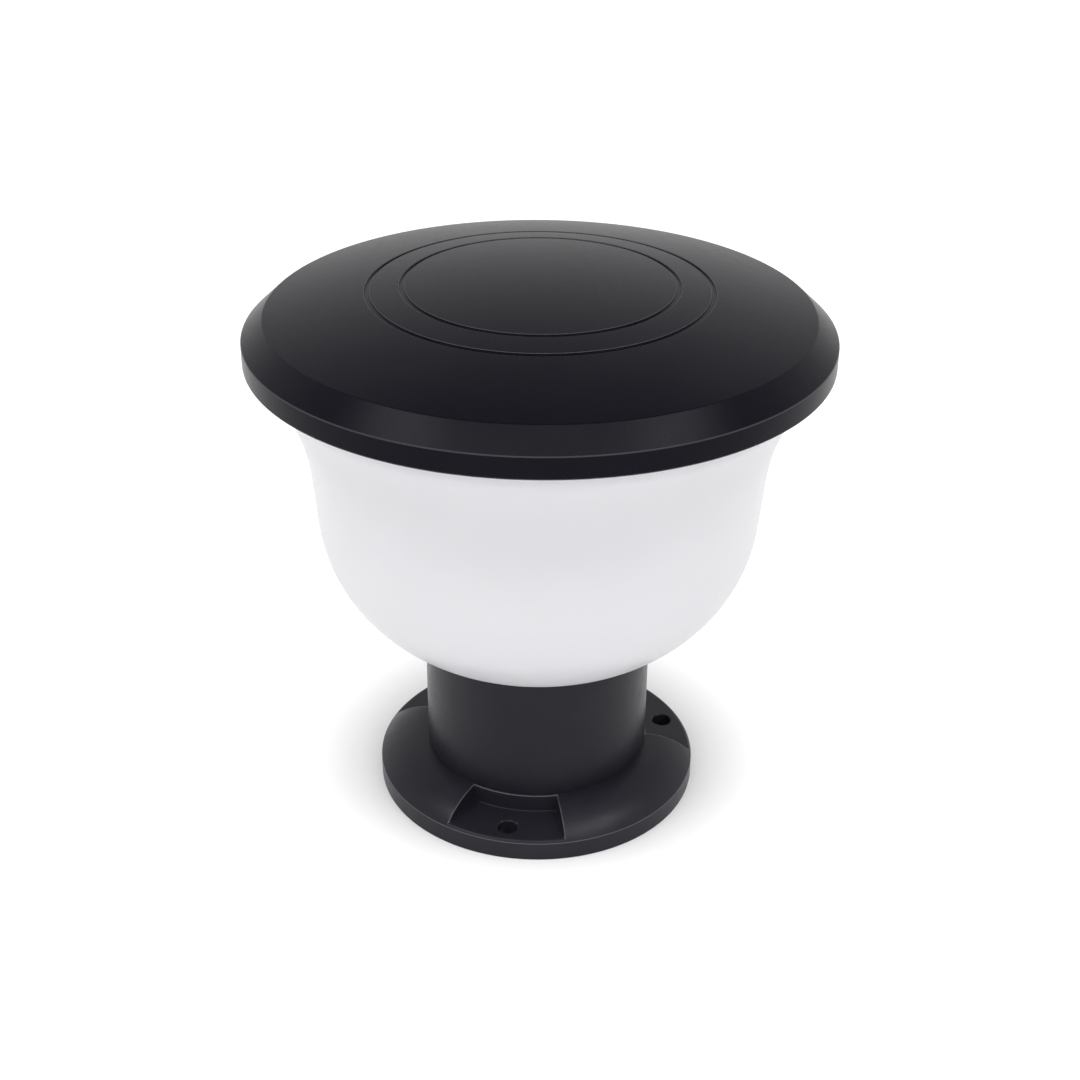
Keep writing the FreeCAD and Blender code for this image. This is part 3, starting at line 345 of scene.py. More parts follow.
def make_lights():
    middle = (0, 0, 0.13)
    softbox("front", (0, -0.70, 1.58), middle, 1.2, 0.3, 5.2)
    softbox("strip", (0, -1.30, 0.58), middle, 1.4, 0.05, 2.8)
    softbox("left", (-0.86, -0.38, 1.50), middle, 0.9, 0.3, 7.1)
    softbox("right", (0.84, -0.40, 1.50), middle, 0.9, 0.3, 6.8)


# Sizes in millimetres of what the frame doesn't give by itself

lamp_turn_deg = -11.2
columns = 240
round_columns = 120
hole_columns = 96
rod_columns = 48
overrun = 2.0
post_wall = 3.0
post_edge = 0.35
rim_h = 10.0
rim_round = 1.1
rim_wall = 5.5
flange_skin = 3.7
hub_h = 8.5
hub_r = 48.4
hub_wall = 3.1
web_t = 3.0
anchor_count = 3
anchor_inset = 9.5
anchor_hole_r = 4.5
anchor_boss_r = 9.0
anchor_edge = 0.35
pocket_half_deg = 21.5
pocket_side_deg = 3.3
pocket_ledge = 0.5
pocket_lip = 0.6
pocket_crease = 0.6
place_tolerance = 0.1
strip_deg = 1.0
dome_row_count = 14
hub_round = 1.0
rib_foot_gap = 2.0
sharp_deg = 32.0
edge_bend_low = 0.7
edge_bend_high = 1.2
rib_t = 3.0
rib_overlap = 1.0
rib_spread_deg = 14.0
gasket_groove_w = 2.8
gasket_groove_depth = 2.4
port_place = 45.1
port_r = 4.9
port_bore_r = 1.9
port_slot_w = 1.6
port_clearance = 0.5
port_boss_wall = 2.1
screw_hole_r = 2.2
gland_hole_r = 7.95
earth_place = (25.0, 17.0)


# Mesh helpers: outlines are lists of (r, z) or (r, z, round) corners in millimetres

weld_mm = 0.002
crease_angle = 0.8
room_share = 0.49
broken_edge = 0.2
fine_edge = 0.3
small_edge = 0.4
soft_edge = 0.5
plain_edge = 0.6
broad_edge = 1.0


def unit(a, b):
    length = math.dist(a[:2], b[:2])
    return ((b[0] - a[0]) / length, (b[1] - a[1]) / length)


def arc(centre, start, end, step=4.0):
    """Points along an arc between its ends, the short way round, without the ends."""
    radius = math.dist(centre, start)
    a = math.atan2(start[1] - centre[1], start[0] - centre[0])
    b = math.atan2(end[1] - centre[1], end[0] - centre[0])
    sweep = (b - a + math.pi) % FULL_TURN - math.pi
    count = max(2, round(abs(sweep) * radius / step))
    return [(centre[0] + radius * math.cos(a + sweep * i / count),
             centre[1] + radius * math.sin(a + sweep * i / count)) for i in range(1, count)]


def rounded(corners):
    """Closed outline with each corner's round worked in as an arc."""
    points = []
    for i, corner in enumerate(corners):
        if len(corner) < 3 or not corner[2]:
            points.append(corner[:2])
            continue
        before, after = corners[i - 1], corners[(i + 1) % len(corners)]
        u, v = unit(corner, before), unit(corner, after)
        half = math.acos(max(-1, min(1, u[0] * v[0] + u[1] * v[1]))) / 2
        room = room_share * min(math.dist(corner[:2], before[:2]), math.dist(corner[:2], after[:2]))
        setback = min(corner[2] / math.tan(half), room)
        reach = setback / math.cos(half)
        middle = ((u[0] + v[0]) / 2, (u[1] + v[1]) / 2)
        size = math.hypot(*middle)
        centre = (corner[0] + middle[0] / size * reach, corner[1] + middle[1] / size * reach)
        start = (corner[0] + u[0] * setback, corner[1] + u[1] * setback)
        end = (corner[0] + v[0] * setback, corner[1] + v[1] * setback)
        points += [start] + arc(centre, start, end, setback / 3) + [end]
    return points


def new_object(name, mesh_builder):
    mesh = bpy.data.meshes.new(name)
    bmesh.ops.remove_doubles(mesh_builder, verts=mesh_builder.verts, dist=weld_mm * MM)
    bmesh.ops.recalc_face_normals(mesh_builder, faces=mesh_builder.faces)
    mesh_builder.to_mesh(mesh)
    mesh_builder.free()
    piece = bpy.data.objects.new(name, mesh)
    bpy.context.scene.collection.objects.link(piece)
    return piece


def lathe(name, corners, around=columns):
    """Closed outline turned about the Z axis."""
    outline = rounded(corners)
    build = bmesh.new()
    rings = []
    for r, z in outline:
        if r < weld_mm / 2:
            rings.append([build.verts.new((0, 0, z * MM))])
        else:
            rings.append([build.verts.new((r * MM * math.cos(FULL_TURN * i / around),
                                           r * MM * math.sin(FULL_TURN * i / around), z * MM))
                          for i in range(around)])
    for low, high in zip(rings, rings[1:] + rings[:1]):
        if len(low) == 1 and len(high) == 1:
            continue
        for i in range(around):
            j = (i + 1) % around
            face = [low[i % len(low)], low[j % len(low)], high[j % len(high)], high[i % len(high)]]
            build.faces.new([v for k, v in enumerate(face) if v not in face[:k]])
    return new_object(name, build)


def rod(name, r, low, high, x=0, y=0, edge=0.0, around=rod_columns):
    piece = lathe(name, [(0, low), (r, low, edge), (r, high, edge), (0, high)], around)
    return moved(piece, x, y, 0)


def pipe(name, r, bore, low, high, x=0, y=0, edge=broken_edge, around=columns):
    piece = lathe(name, [(bore, low, edge), (r, low, edge), (r, high, edge), (bore, high, edge)], around)
    return moved(piece, x, y, 0)


def moved(piece, x, y, z):
    piece.data.transform(Matrix.Translation((x * MM, y * MM, z * MM)))
    return piece


def turned(piece, degrees):
    piece.data.transform(Matrix.Rotation(math.radians(degrees), 4, "Z"))
    return piece


def upside_down(piece):
    piece.data.transform(Matrix.Rotation(math.pi, 4, "X"))
    return piece


def prism(name, outline, thickness, bevel=0.0):
    """Outline in the XZ plane, given thickness about Y = 0."""
    build = bmesh.new()
    half = thickness / 2 * MM
    near = [build.verts.new((x * MM, -half, z * MM)) for x, z in outline]
    far = [build.verts.new((x * MM, half, z * MM)) for x, z in outline]
    build.faces.new(near)
    build.faces.new(far[::-1])
    for i in range(len(outline)):
        j = (i + 1) % len(outline)
        build.faces.new([near[i], near[j], far[j], far[i]])
    if bevel:
        bmesh.ops.bevel(build, geom=build.edges[:], offset=bevel * MM, segments=2, profile=0.5,
                        affect="EDGES")
    return new_object(name, build)


def block(name, x0, x1, y0, y1, z0, z1, bevel=0.0):
    piece = prism(name, [(x0, z0), (x1, z0), (x1, z1), (x0, z1)], y1 - y0, bevel)
    return moved(piece, 0, (y0 + y1) / 2, 0)


def at_angle(r, degrees):
    """Place on a circle, at an angle from -Y towards +X."""
    a = math.radians(degrees)
    return r * math.sin(a), -r * math.cos(a)


def sector(name, r_in, r_out, low, high, middle_deg, half_deg, bevel=0.0):
    """Piece of a ring about the axis, centred on an angle from -Y."""
    count = max(2, round(half_deg))
    build = bmesh.new()
    stations = []
    for i in range(count + 1):
        a = middle_deg - half_deg + 2 * half_deg * i / count
        section = ((r_in, low), (r_out, low), (r_out, high), (r_in, high))
        corners = [(*at_angle(r, a), z) for r, z in section]
        stations.append([build.verts.new((x * MM, y * MM, z * MM)) for x, y, z in corners])
    for here, there in zip(stations, stations[1:]):
        for k in range(4):
            m = (k + 1) % 4
            build.faces.new([here[k], here[m], there[m], there[k]])
    build.faces.new(stations[0])
    build.faces.new(stations[-1][::-1])
    if bevel:
        bmesh.ops.recalc_face_normals(build, faces=build.faces)
        sharp = [e for e in build.edges if len(e.link_faces) == 2 and e.calc_face_angle() > crease_angle]
        bmesh.ops.bevel(build, geom=sharp, offset=bevel * MM, segments=2, profile=0.5,
                        affect="EDGES")
    return new_object(name, build)


def combine(body, operation, pieces):
    """Adds pieces to a body, or cuts them from it, and leaves only the body."""
    group = bpy.data.collections.new("pieces")
    bpy.context.scene.collection.children.link(group)
    for piece in pieces:
        group.objects.link(piece)
    modifier = body.modifiers.new("combine", "BOOLEAN")
    modifier.operation = operation
    modifier.solver = "EXACT"
    modifier.operand_type = "COLLECTION"
    modifier.collection = group
    depsgraph = bpy.context.evaluated_depsgraph_get()
    mesh = bpy.data.meshes.new_from_object(body.evaluated_get(depsgraph))
    body.modifiers.clear()
    body.data = mesh
    for piece in pieces:
        bpy.data.meshes.remove(piece.data)
    bpy.data.collections.remove(group)
    return body


def mark_edges(mesh):
    """Mask for the painted edge highlight: paints each point of a rounded outward edge, from 0 to 1 by how
    tightly it bends.
    """
    build = bmesh.new()
    build.from_mesh(mesh)
    painted = build.verts.layers.float.new("edge")
    for edge in build.edges:
        if len(edge.link_faces) != 2:
            continue
        turn = edge.calc_face_angle_signed()
        if turn <= 0:
            continue
        reach = sum(f.calc_area() for f in edge.link_faces) / (2 * edge.calc_length()) / MM
        tightness = (turn / reach - edge_bend_low) / (edge_bend_high - edge_bend_low)
        for point in edge.verts:
            point[painted] = max(point[painted], min(1.0, tightness))
    build.to_mesh(mesh)
    build.free()


def dress(piece, body, slot, material, *replaced):
    """Shades a finished piece, gives it its material, and says where it rides and what it replaces."""
    mesh = piece.data
    mesh.materials.clear()
    mesh.materials.append(material)
    for face in mesh.polygons:
        face.use_smooth = True
    # Mask for the painted highlight on rounded edges.
    mark_edges(mesh)
    mesh.set_sharp_from_angle(angle=math.radians(sharp_deg))
    weighted = piece.modifiers.new("flat faces", "WEIGHTED_NORMAL")
    weighted.keep_sharp = True
    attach(piece, body)
    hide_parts(*replaced)


def span(node):
    """Lowest and highest place of a node, in millimetres."""
    low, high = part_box(node)
    return low.z / MM, high.z / MM


def width(node):
    low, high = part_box(node)
    return (high.x - low.x) / MM


# Cap

cap_wall = 2.8
cap_skirt_h = 9.6
cap_edge_w = 9.3
cap_edge_h = 8.6
cap_edge_round = 1.6
cap_skirt_round = 0.9
cap_grooves = (72.25, 57.8)
cap_groove_w = 2.0
cap_groove_depth = 0.8
cap_groove_round = 0.3
cap_rib_count = 12
cap_rib_t = 2.4
cap_rib_depth = 5.0
cap_rib_end = 97.0
cap_inner_step = 6.0
cap_hub_r = 22.5
cap_hub_wall = 2.5
cap_hub_drop = 1.2
cap_boss_r = 4.0
cap_boss_hole = 6.0
cap_screw_count = 6
cap_screw_place = 102.15


def cap_dome():
    """Centre height and radius of the dome's arc, from the cap's box."""
    low, high = span("cap_cover")
    edge = (width("cap_cover") / 2 - cap_edge_w, low + cap_skirt_h + cap_edge_h)
    rise = high - edge[1]
    radius = (edge[0] ** 2 + rise ** 2) / (2 * rise)
    return high - radius, radius, edge


def cap_outline():
    low, high = span("cap_cover")
    cap_r = width("cap_cover") / 2
    centre_z, radius, edge = cap_dome()
    centre = (0, centre_z)

    def dome(r, drop=0.0):
        return (r, centre_z + math.sqrt((radius - drop) ** 2 - r ** 2))

    outline = [(cap_r, low, cap_skirt_round), (cap_r, low + cap_skirt_h, cap_skirt_round),
               (*edge, cap_edge_round)]
    here = edge
    for place in cap_grooves:
        out, into = dome(place + cap_groove_w / 2), dome(place - cap_groove_w / 2)
        outline += arc(centre, here, out)
        outline += [(*out, cap_groove_round), (out[0], out[1] - cap_groove_depth, cap_groove_round),
                    (into[0], into[1] - cap_groove_depth, cap_groove_round), (*into, cap_groove_round)]
        here = into
    outline += arc(centre, here, (0, high)) + [(0, high), (0, high - cap_wall)]
    inner_skirt = (cap_r - cap_wall, low + cap_skirt_h - cap_wall / 3)
    inner_edge = dome(edge[0] - cap_wall / 3, cap_wall)
    outline += arc(centre, (0, high - cap_wall), inner_edge, cap_inner_step)
    return outline + [(*inner_edge, broad_edge), (*inner_skirt, broad_edge),
                      (cap_r - cap_wall, low, cap_skirt_round / 2)]


def cap_ribs():
    centre_z, radius = cap_dome()[:2]

    def under(r, drop):
        return centre_z + math.sqrt(radius ** 2 - r ** 2) - drop

    deep = cap_wall + cap_rib_depth
    start = cap_hub_r - cap_hub_wall / 2
    outline = [(start, under(start, deep)), (cap_rib_end, under(cap_rib_end, deep)),
               (cap_rib_end, under(cap_rib_end, cap_wall / 2)), (start, under(start, cap_wall / 2))]
    ribs = [turned(prism("rib", outline, cap_rib_t, fine_edge), 360 * i / cap_rib_count)
            for i in range(cap_rib_count)]
    hub = pipe("hub", cap_hub_r, cap_hub_r - cap_hub_wall, under(cap_hub_r, deep + cap_hub_drop),
               under(cap_hub_r, cap_wall / 2), around=round_columns)
    return ribs + [hub]


def cap_screw_places():
    return [at_angle(cap_screw_place, 360 * (i + 0.5) / cap_screw_count) for i in range(cap_screw_count)]


def make_cap():
    cap = lathe("cap_dome", cap_outline())
    centre_z, radius = cap_dome()[:2]
    ring_top = span("cap_ring")[1]
    boss_top = centre_z + math.sqrt(radius ** 2 - cap_screw_place ** 2) - cap_wall / 2
    bosses = [rod("boss", cap_boss_r, ring_top, boss_top, x, y, fine_edge)
              for x, y in cap_screw_places()]
    holes = [rod("hole", port_bore_r, ring_top - overrun, ring_top + cap_boss_hole, x, y)
             for x, y in cap_screw_places()]
    combine(cap, "UNION", cap_ribs() + bosses)
    combine(cap, "DIFFERENCE", holes)
    turned(cap, lamp_turn_deg)
    # The cap takes the darker copy of the cast black, painted shade.
    dress(cap, "cap", "cast_black", materials["cap_black_shaded"], "cap_cover")


# Shade

shade_wall = 2.6
shade_foot_t = 3.0
shade_foot_bore_r = 38.0
shade_rim_round = 0.7
shade_foot_r = 52.0
bowl_r = 70.0
shade_side_r = 97.67
wall_lean_deg = 4.65
wall_l = 23.2
flare_h = 43.58
collar_r = 113.6
lug_count = 4
lug_half_deg = 8.0
lug_h = 2.4
lug_below_rim = 0.6
lug_reach = 4.0
stop_overlap = 1.0
stop_deg = 1.5
stop_drop = 4.0


def shade_places(inset):
    """Arc centres and meeting points of the shade's outline, set in by its wall."""
    low = span("shade")[0]
    lean = math.radians(wall_lean_deg)
    out = (math.cos(lean), -math.sin(lean))
    bowl = (shade_side_r - bowl_r * out[0],
            low + math.sqrt(bowl_r ** 2 - (shade_foot_r - shade_side_r + bowl_r * out[0]) ** 2))
    start = (shade_side_r, bowl[1] + bowl_r * out[1])
    end = (start[0] + wall_l * math.sin(lean), start[1] + wall_l * math.cos(lean))
    run, rise = collar_r - end[0], flare_h
    flare_r = (run ** 2 + rise ** 2) / (2 * (run * out[0] + rise * out[1]))
    flare = (end[0] + flare_r * out[0], end[1] + flare_r * out[1])
    top = end[1] + flare_h
    lip = (flare[0] - math.sqrt((flare_r + inset) ** 2 - (top - flare[1]) ** 2), top)
    start, end = [(p[0] - inset * out[0], p[1] - inset * out[1]) for p in (start, end)]
    return bowl, start, end, flare, lip


def shade_outline():
    low, high = span("shade")
    bowl, start, end, flare, lip = shade_places(0)
    in_start, in_end, in_lip = [shade_places(shade_wall)[i] for i in (1, 2, 4)]
    foot = (shade_foot_r, low)
    floor = low + shade_foot_t
    in_foot = (bowl[0] + math.sqrt((bowl_r - shade_wall) ** 2 - (bowl[1] - floor) ** 2), floor)
    outline = [(shade_foot_bore_r, low, small_edge), (*foot, soft_edge)]
    outline += arc(bowl, foot, start) + [start, end]
    outline += arc(flare, end, lip)
    outline += [lip, (collar_r, high, shade_rim_round), (collar_r - shade_wall, high, shade_rim_round)]
    outline += [in_lip] + arc(flare, in_lip, in_end) + [in_end, in_start] + arc(bowl, in_start, in_foot)
    return outline + [(*in_foot, broad_edge), (shade_foot_bore_r, floor, small_edge)]


def shade_lugs():
    high = span("shade")[1]
    top = high - lug_below_rim
    inner, outer = collar_r - shade_wall / 2, collar_r + lug_reach
    pieces = []
    for i in range(lug_count):
        middle = 360 * i / lug_count
        stop_middle = middle + lug_half_deg + stop_deg / 2
        pieces.append(sector("lug", inner, outer, top - lug_h, top, middle, lug_half_deg,
                             small_edge))
        pieces.append(sector("stop", inner, outer, top - lug_h - stop_drop + stop_overlap, top,
                             stop_middle, stop_deg / 2, fine_edge))
    return pieces


def port_places():
    return [at_angle(port_place, 360 * (i + 0.5) / anchor_count) for i in range(anchor_count)]


def make_shade():
    shade = lathe("opal_shade", shade_outline())
    low = span("shade")[0]
    combine(shade, "UNION", shade_lugs())
    combine(shade, "DIFFERENCE", [rod("hole", screw_hole_r, low - overrun, low + shade_foot_t + overrun, x, y)
                                  for x, y in port_places()])
    turned(shade, lamp_turn_deg)
    dress(shade, "base", "opal_white", materials["opal_white"], "shade")


# Post

def make_post():
    low, high = span("post_tube")
    outer = width("post_tube") / 2
    bore = outer - post_wall
    post = pipe("post", outer, bore, low, high, edge=post_edge)
    ports = [rod("port", port_r, low, high, x, y, broken_edge) for x, y in port_places()]
    combine(post, "UNION", ports)
    bores = [rod("bore", port_bore_r, low - overrun, high + overrun, x, y) for x, y in port_places()]
    slots = []
    for i in range(anchor_count):
        slot = block("slot", -port_slot_w / 2, port_slot_w / 2, -port_place, -port_place + port_r + overrun,
                     low - overrun, high + overrun)
        slots.append(turned(slot, 360 * (i + 0.5) / anchor_count))
    combine(post, "DIFFERENCE", bores + slots)
    turned(post, lamp_turn_deg)
    dress(post, "base", "tube_black", materials["tube_black"], "post_tube")


# Base flange

def flange_arc(inset):
    """Top and side of the flange's dome arc and its centre, set in by a skin."""
    post_r = width("post_tube") / 2
    base_r = width("base_flange") / 2
    flange_h = span("post_tube")[0]
    rise, run = flange_h - rim_h, base_r - rim_round - post_r
    radius = (run ** 2 + rise ** 2) / (2 * rise)
    centre = (post_r, flange_h - radius)
    side_r = base_r - rim_round if inset == 0 else base_r - rim_wall
    side = (side_r, centre[1] + math.sqrt((radius - inset) ** 2 - (side_r - post_r) ** 2))
    return (post_r, flange_h - inset), side, centre


def strip(build, outline, a, b):
    """Quads between two angles along an outline (r, z)."""
    near = [build.verts.new((*[c * MM for c in at_angle(r, a)], z * MM)) for r, z in outline]
    far = [build.verts.new((*[c * MM for c in at_angle(r, b)], z * MM)) for r, z in outline]
    for i in range(len(outline) - 1):
        face = [near[i], near[i + 1], far[i + 1], far[i]]
        places = [tuple(v.co) for v in face]
        corners = [v for k, v in enumerate(face) if places[k] not in places[:k]]
        if len(corners) > 2:
            build.faces.new(corners)


def flange_outside():
    """Outside of the flange as a closed solid in strips a degree wide, over the dome or in a
    pocket, with the walls at the pockets' sides."""
    top, side, centre = flange_arc(0)
    base_r = width("base_flange") / 2
    web_top = span("base_flange")[1]
    radius = math.dist(centre, top)
    ledge_r = top[0] + pocket_ledge
    count = dome_row_count
    radii = [ledge_r + (side[0] - ledge_r) * i / count for i in range(count + 1)]
    dome = [(r, centre[1] + math.sqrt(radius ** 2 - (r - centre[0]) ** 2)) for r in radii]
    floor = [(r, rim_h) for r in radii]
    hub = rounded([(0, web_top), (hub_r, web_top, hub_round), (hub_r, top[1]), top])
    rim = rounded([side, (base_r, side[1] - rim_round, plain_edge), (base_r, 0, small_edge), (0, 0)])
    build = bmesh.new()
    for i in range(anchor_count):
        start = 360 * i / anchor_count - pocket_half_deg
        for k in range(round(360 / anchor_count / strip_deg)):
            a, b = start + k * strip_deg, start + (k + 1) * strip_deg
            middle = floor if k < 2 * pocket_half_deg / strip_deg else dome
            strip(build, hub + [dome[0]] + middle + rim, a, b)
        for angle in (start, start + 2 * pocket_half_deg):
            for j in range(count):
                corners = [dome[j], dome[j + 1], floor[j + 1], floor[j]]
                corners = corners if j < count - 1 else [dome[j], side, floor[j]]
                build.faces.new([build.verts.new((*[c * MM for c in at_angle(r, angle)], z * MM))
                                 for r, z in corners])
    bmesh.ops.remove_doubles(build, verts=build.verts, dist=weld_mm * MM)
    bmesh.ops.recalc_face_normals(build, faces=build.faces)
    near, far, low = ledge_r - place_tolerance, side[0] + place_tolerance, rim_h - place_tolerance
    lips = [e for e in build.edges if len(e.link_faces) == 2 and e.calc_face_angle() > pocket_crease
            and all(near < v.co.xy.length / MM < far and v.co.z / MM > low for v in e.verts)]
    bmesh.ops.bevel(build, geom=lips, offset=pocket_lip * MM, segments=3, profile=0.5, affect="EDGES",
                    clamp_overlap=True)
    return new_object("flange", build)


def flange_cavity():
    """Hollow under the flange, less the pockets' floors, bosses and ribs that stand in it."""
    top, side, centre = flange_arc(flange_skin)
    base_r = width("base_flange") / 2
    flange_h = span("post_tube")[0]
    web_low = span("base_flange")[1] - web_t
    hub_bore_r = hub_r - hub_wall
    outline = [(0, -overrun), (side[0], -overrun), (*side, broad_edge)] + arc(centre, side, top)
    outline += [top, (hub_bore_r, top[1], soft_edge), (hub_bore_r, web_low, broad_edge), (0, web_low)]
    cavity = lathe("cavity", outline)
    kept = []
    for i in range(anchor_count):
        angle = 360 * i / anchor_count
        kept.append(sector("floor", hub_r - rib_overlap, base_r, rim_h - flange_skin, flange_h, angle,
                           pocket_half_deg + pocket_side_deg))
        kept.append(rod("boss", anchor_boss_r, -2 * overrun, rim_h,
                        *at_angle(base_r - anchor_inset, angle), around=hole_columns))
    for i, (x, y) in enumerate(port_places()):
        angle = 360 * (i + 0.5) / anchor_count
        kept.append(rod("boss", port_r + port_clearance + port_boss_wall, top[1], flange_h + hub_h,
                        x, y, around=hole_columns))
        for side_deg in (-rib_spread_deg, rib_spread_deg):
            rib = block("rib", -rib_t / 2, rib_t / 2, -base_r, rib_overlap - hub_bore_r, rib_foot_gap,
                        flange_h, fine_edge)
            kept.append(turned(rib, angle + side_deg))
    return combine(cavity, "DIFFERENCE", kept)


def flange_holes():
    base_r = width("base_flange") / 2
    flange_h = span("post_tube")[0]
    web_top = span("base_flange")[1]
    groove_r = base_r - rim_wall / 2 + gasket_groove_w / 2
    holes = [pipe("groove", groove_r, groove_r - gasket_groove_w, -overrun, gasket_groove_depth,
                  edge=fine_edge),
             rod("hole", gland_hole_r, 0, web_top + overrun, around=round_columns),
             rod("hole", port_bore_r, 0, web_top + overrun, *earth_place)]
    for i in range(anchor_count):
        hole = lathe("hole", [(0, -overrun), (anchor_hole_r, -overrun), (anchor_hole_r, rim_h - anchor_edge),
                              (anchor_hole_r + 2 * anchor_edge, rim_h + anchor_edge),
                              (0, rim_h + anchor_edge)], hole_columns)
        holes.append(moved(hole, *at_angle(base_r - anchor_inset, 360 * i / anchor_count), 0))
    for x, y in port_places():
        holes.append(rod("recess", port_r + port_clearance, flange_h, web_top + overrun, x, y,
                         around=hole_columns))
        holes.append(rod("hole", screw_hole_r, 0, flange_h + overrun, x, y))
    return holes


def make_base():
    base = flange_outside()
    combine(base, "DIFFERENCE", [flange_cavity()])
    combine(base, "DIFFERENCE", flange_holes())
    turned(base, lamp_turn_deg)
    dress(base, "base", "cast_black", materials["cast_black"], "base_flange")


# Threads and screws

m4_r = 1.85
m4_pitch = 0.7
m4_thread_depth = 0.38
m4_head_r = 3.6
m4_head_h = 2.6
m4_head_round = 1.2
m4_head_top = 0.6
m4_in_head = 0.1
m4_columns = 20
m4_rows = 6
recess_w = 0.85
recess_reach = 1.9
recess_depth = 1.5
lamp_pitch = 3.629
lamp_thread_step = 0.95
lamp_columns = 96
lamp_rows = 14


def threaded(name, low, high, outside, inside, step, pitch, columns_round, rows):
    """Right-hand thread between two heights. Outside and inside give the radius without the
    thread at a height, and step the crests' height above it, or the roots' below it for a nut's
    thread. Without an inside the body is solid."""
    count = round((high - low) / pitch * rows)
    build = bmesh.new()

    def ring(radius_at, i):
        z = low + (high - low) * i / count
        fade = max(0.0, min(1.0, 2 * i / rows, 2 * (count - i) / rows))
        places = []
        for j in range(columns_round):
            wave = (1 + math.cos(FULL_TURN * (z / pitch - j / columns_round))) / 2
            r = radius_at(z) + step * fade * (wave if step > 0 else 1 - wave)
            turn = FULL_TURN * j / columns_round
            places.append(build.verts.new((r * MM * math.cos(turn), r * MM * math.sin(turn), z * MM)))
        return places

    rings = [ring(outside, i) for i in range(count + 1)]
    if inside:
        rings += [ring(inside, i) for i in range(count, -1, -1)]
        pairs = list(zip(rings, rings[1:] + rings[:1]))
    else:
        pairs = list(zip(rings, rings[1:]))
        build.faces.new(rings[0][::-1])
        build.faces.new(rings[-1])
    for here, there in pairs:
        for j in range(columns_round):
            k = (j + 1) % columns_round
            build.faces.new([here[j], here[k], there[k], there[j]])
    return new_object(name, build)


def repeated(piece, places):
    """The piece at each place in turn, as one mesh."""
    build = bmesh.new()
    for x, y in places:
        copy = piece.data.copy()
        copy.transform(Matrix.Translation((x * MM, y * MM, 0)))
        build.from_mesh(copy)
        bpy.data.meshes.remove(copy)
    build.to_mesh(piece.data)
    build.free()
    return piece


def pan_screws(name, node, places, body, heads_up=True):
    """M4 pan head screws with a cross recess, at the heights of their node."""
    low, high = span(node)
    length = high - low - m4_head_h
    screw = threaded(name, -length, m4_in_head, lambda z: m4_r - m4_thread_depth, None, m4_thread_depth,
                     m4_pitch, m4_columns, m4_rows)
    head = lathe("head", [(0, 0), (m4_head_r, 0, broken_edge), (m4_head_r, m4_head_h / 2, broad_edge),
                          (m4_head_r * m4_head_top, m4_head_h, m4_head_round), (0, m4_head_h)],
                 2 * m4_columns)
    combine(screw, "UNION", [head])
    slots = [turned(block("slot", -recess_reach, recess_reach, -recess_w / 2, recess_w / 2,
                          m4_head_h - recess_depth, m4_head_h + overrun), 45 + 90 * i) for i in range(2)]
    combine(screw, "DIFFERENCE", slots)
    if not heads_up:
        upside_down(screw)
    moved(screw, 0, 0, high - m4_head_h if heads_up else low + m4_head_h)
    turned(repeated(screw, places), lamp_turn_deg)
    dress(screw, body, "steel_zinc", materials["steel_zinc"], node)


# Lampholder and its bracket

holder_foot_r = 17.0
holder_foot_h = 12.0
holder_neck_round = 1.2
holder_shoulder_round = 1.8
holder_top_round = 1.4
holder_step_h = 4.0
holder_groove_z = (21.0, 24.0, 27.0)
holder_groove = 0.7
socket_floor_h = 7.0
socket_floor_r = 11.0
shell_ledge_h = 5.2
shell_pocket_r = 14.3
shell_major_r = 13.5
shell_wall = 0.5
shell_edge = 0.1
mouth_r = 15.5
mouth_depth = 2.0
pocket_side = 5.0
pocket_x = 4.25
pocket_z = 4.0
pocket_reach = 10.0
holder_screw_x = 10.0
holder_screw_r = 1.45
holder_screw_depth = 5.0
bracket_w = 14.0
bracket_t = 1.5
bracket_top_half = 15.0
bracket_foot_l = 10.0
bracket_screw_x = 21.5
bend_r = 1.4


def make_lampholder():
    low, top = span("lampholder_body")
    r = width("lampholder_body") / 2
    floor = low + socket_floor_h
    ledge = floor + shell_ledge_h
    step = low + holder_foot_h
    outline = [(0, low), (holder_foot_r, low, plain_edge), (holder_foot_r, step, holder_neck_round),
               (r, step + holder_step_h, holder_shoulder_round)]
    for z in holder_groove_z:
        z += low
        bottom = r - holder_groove
        outline += [(r, z, broken_edge), (bottom, z + holder_groove / 2, broken_edge),
                    (bottom, z + holder_groove, broken_edge), (r, z + 1.5 * holder_groove, broken_edge)]
    outline += [(r, top, holder_top_round), (mouth_r, top, plain_edge),
                (mouth_r, top - mouth_depth, broken_edge), (shell_pocket_r, top - mouth_depth, broken_edge),
                (shell_pocket_r, ledge, fine_edge), (socket_floor_r, ledge, fine_edge),
                (socket_floor_r, floor, plain_edge), (0, floor)]
    holder = lathe("socket_body", outline, round_columns)
    cuts = [rod("hole", holder_screw_r, low - overrun, low + holder_screw_depth, x)
            for x in (-holder_screw_x, holder_screw_x)]
    half = pocket_side / 2
    cuts += [block("pocket", x - half, x + half, -holder_foot_r - overrun, pocket_reach - holder_foot_r,
                   low + pocket_z - half, low + pocket_z + half, fine_edge) for x in (-pocket_x, pocket_x)]
    combine(holder, "DIFFERENCE", cuts)
    turned(holder, lamp_turn_deg)
    dress(holder, "base", "porcelain", materials["porcelain"], "lampholder_body")


def make_socket_shell():
    low, high = span("lampholder_shell")
    shell = threaded("socket_shell", low, high, lambda z: shell_major_r + shell_wall, lambda z: shell_major_r,
                     -lamp_thread_step, lamp_pitch, lamp_columns, lamp_rows)
    floor = pipe("floor", shell_major_r + shell_wall, socket_floor_r, low, low + shell_wall,
                 edge=shell_edge, around=lamp_columns)
    combine(shell, "UNION", [floor])
    dress(shell, "base", "nickel", materials["nickel"], "lampholder_shell")


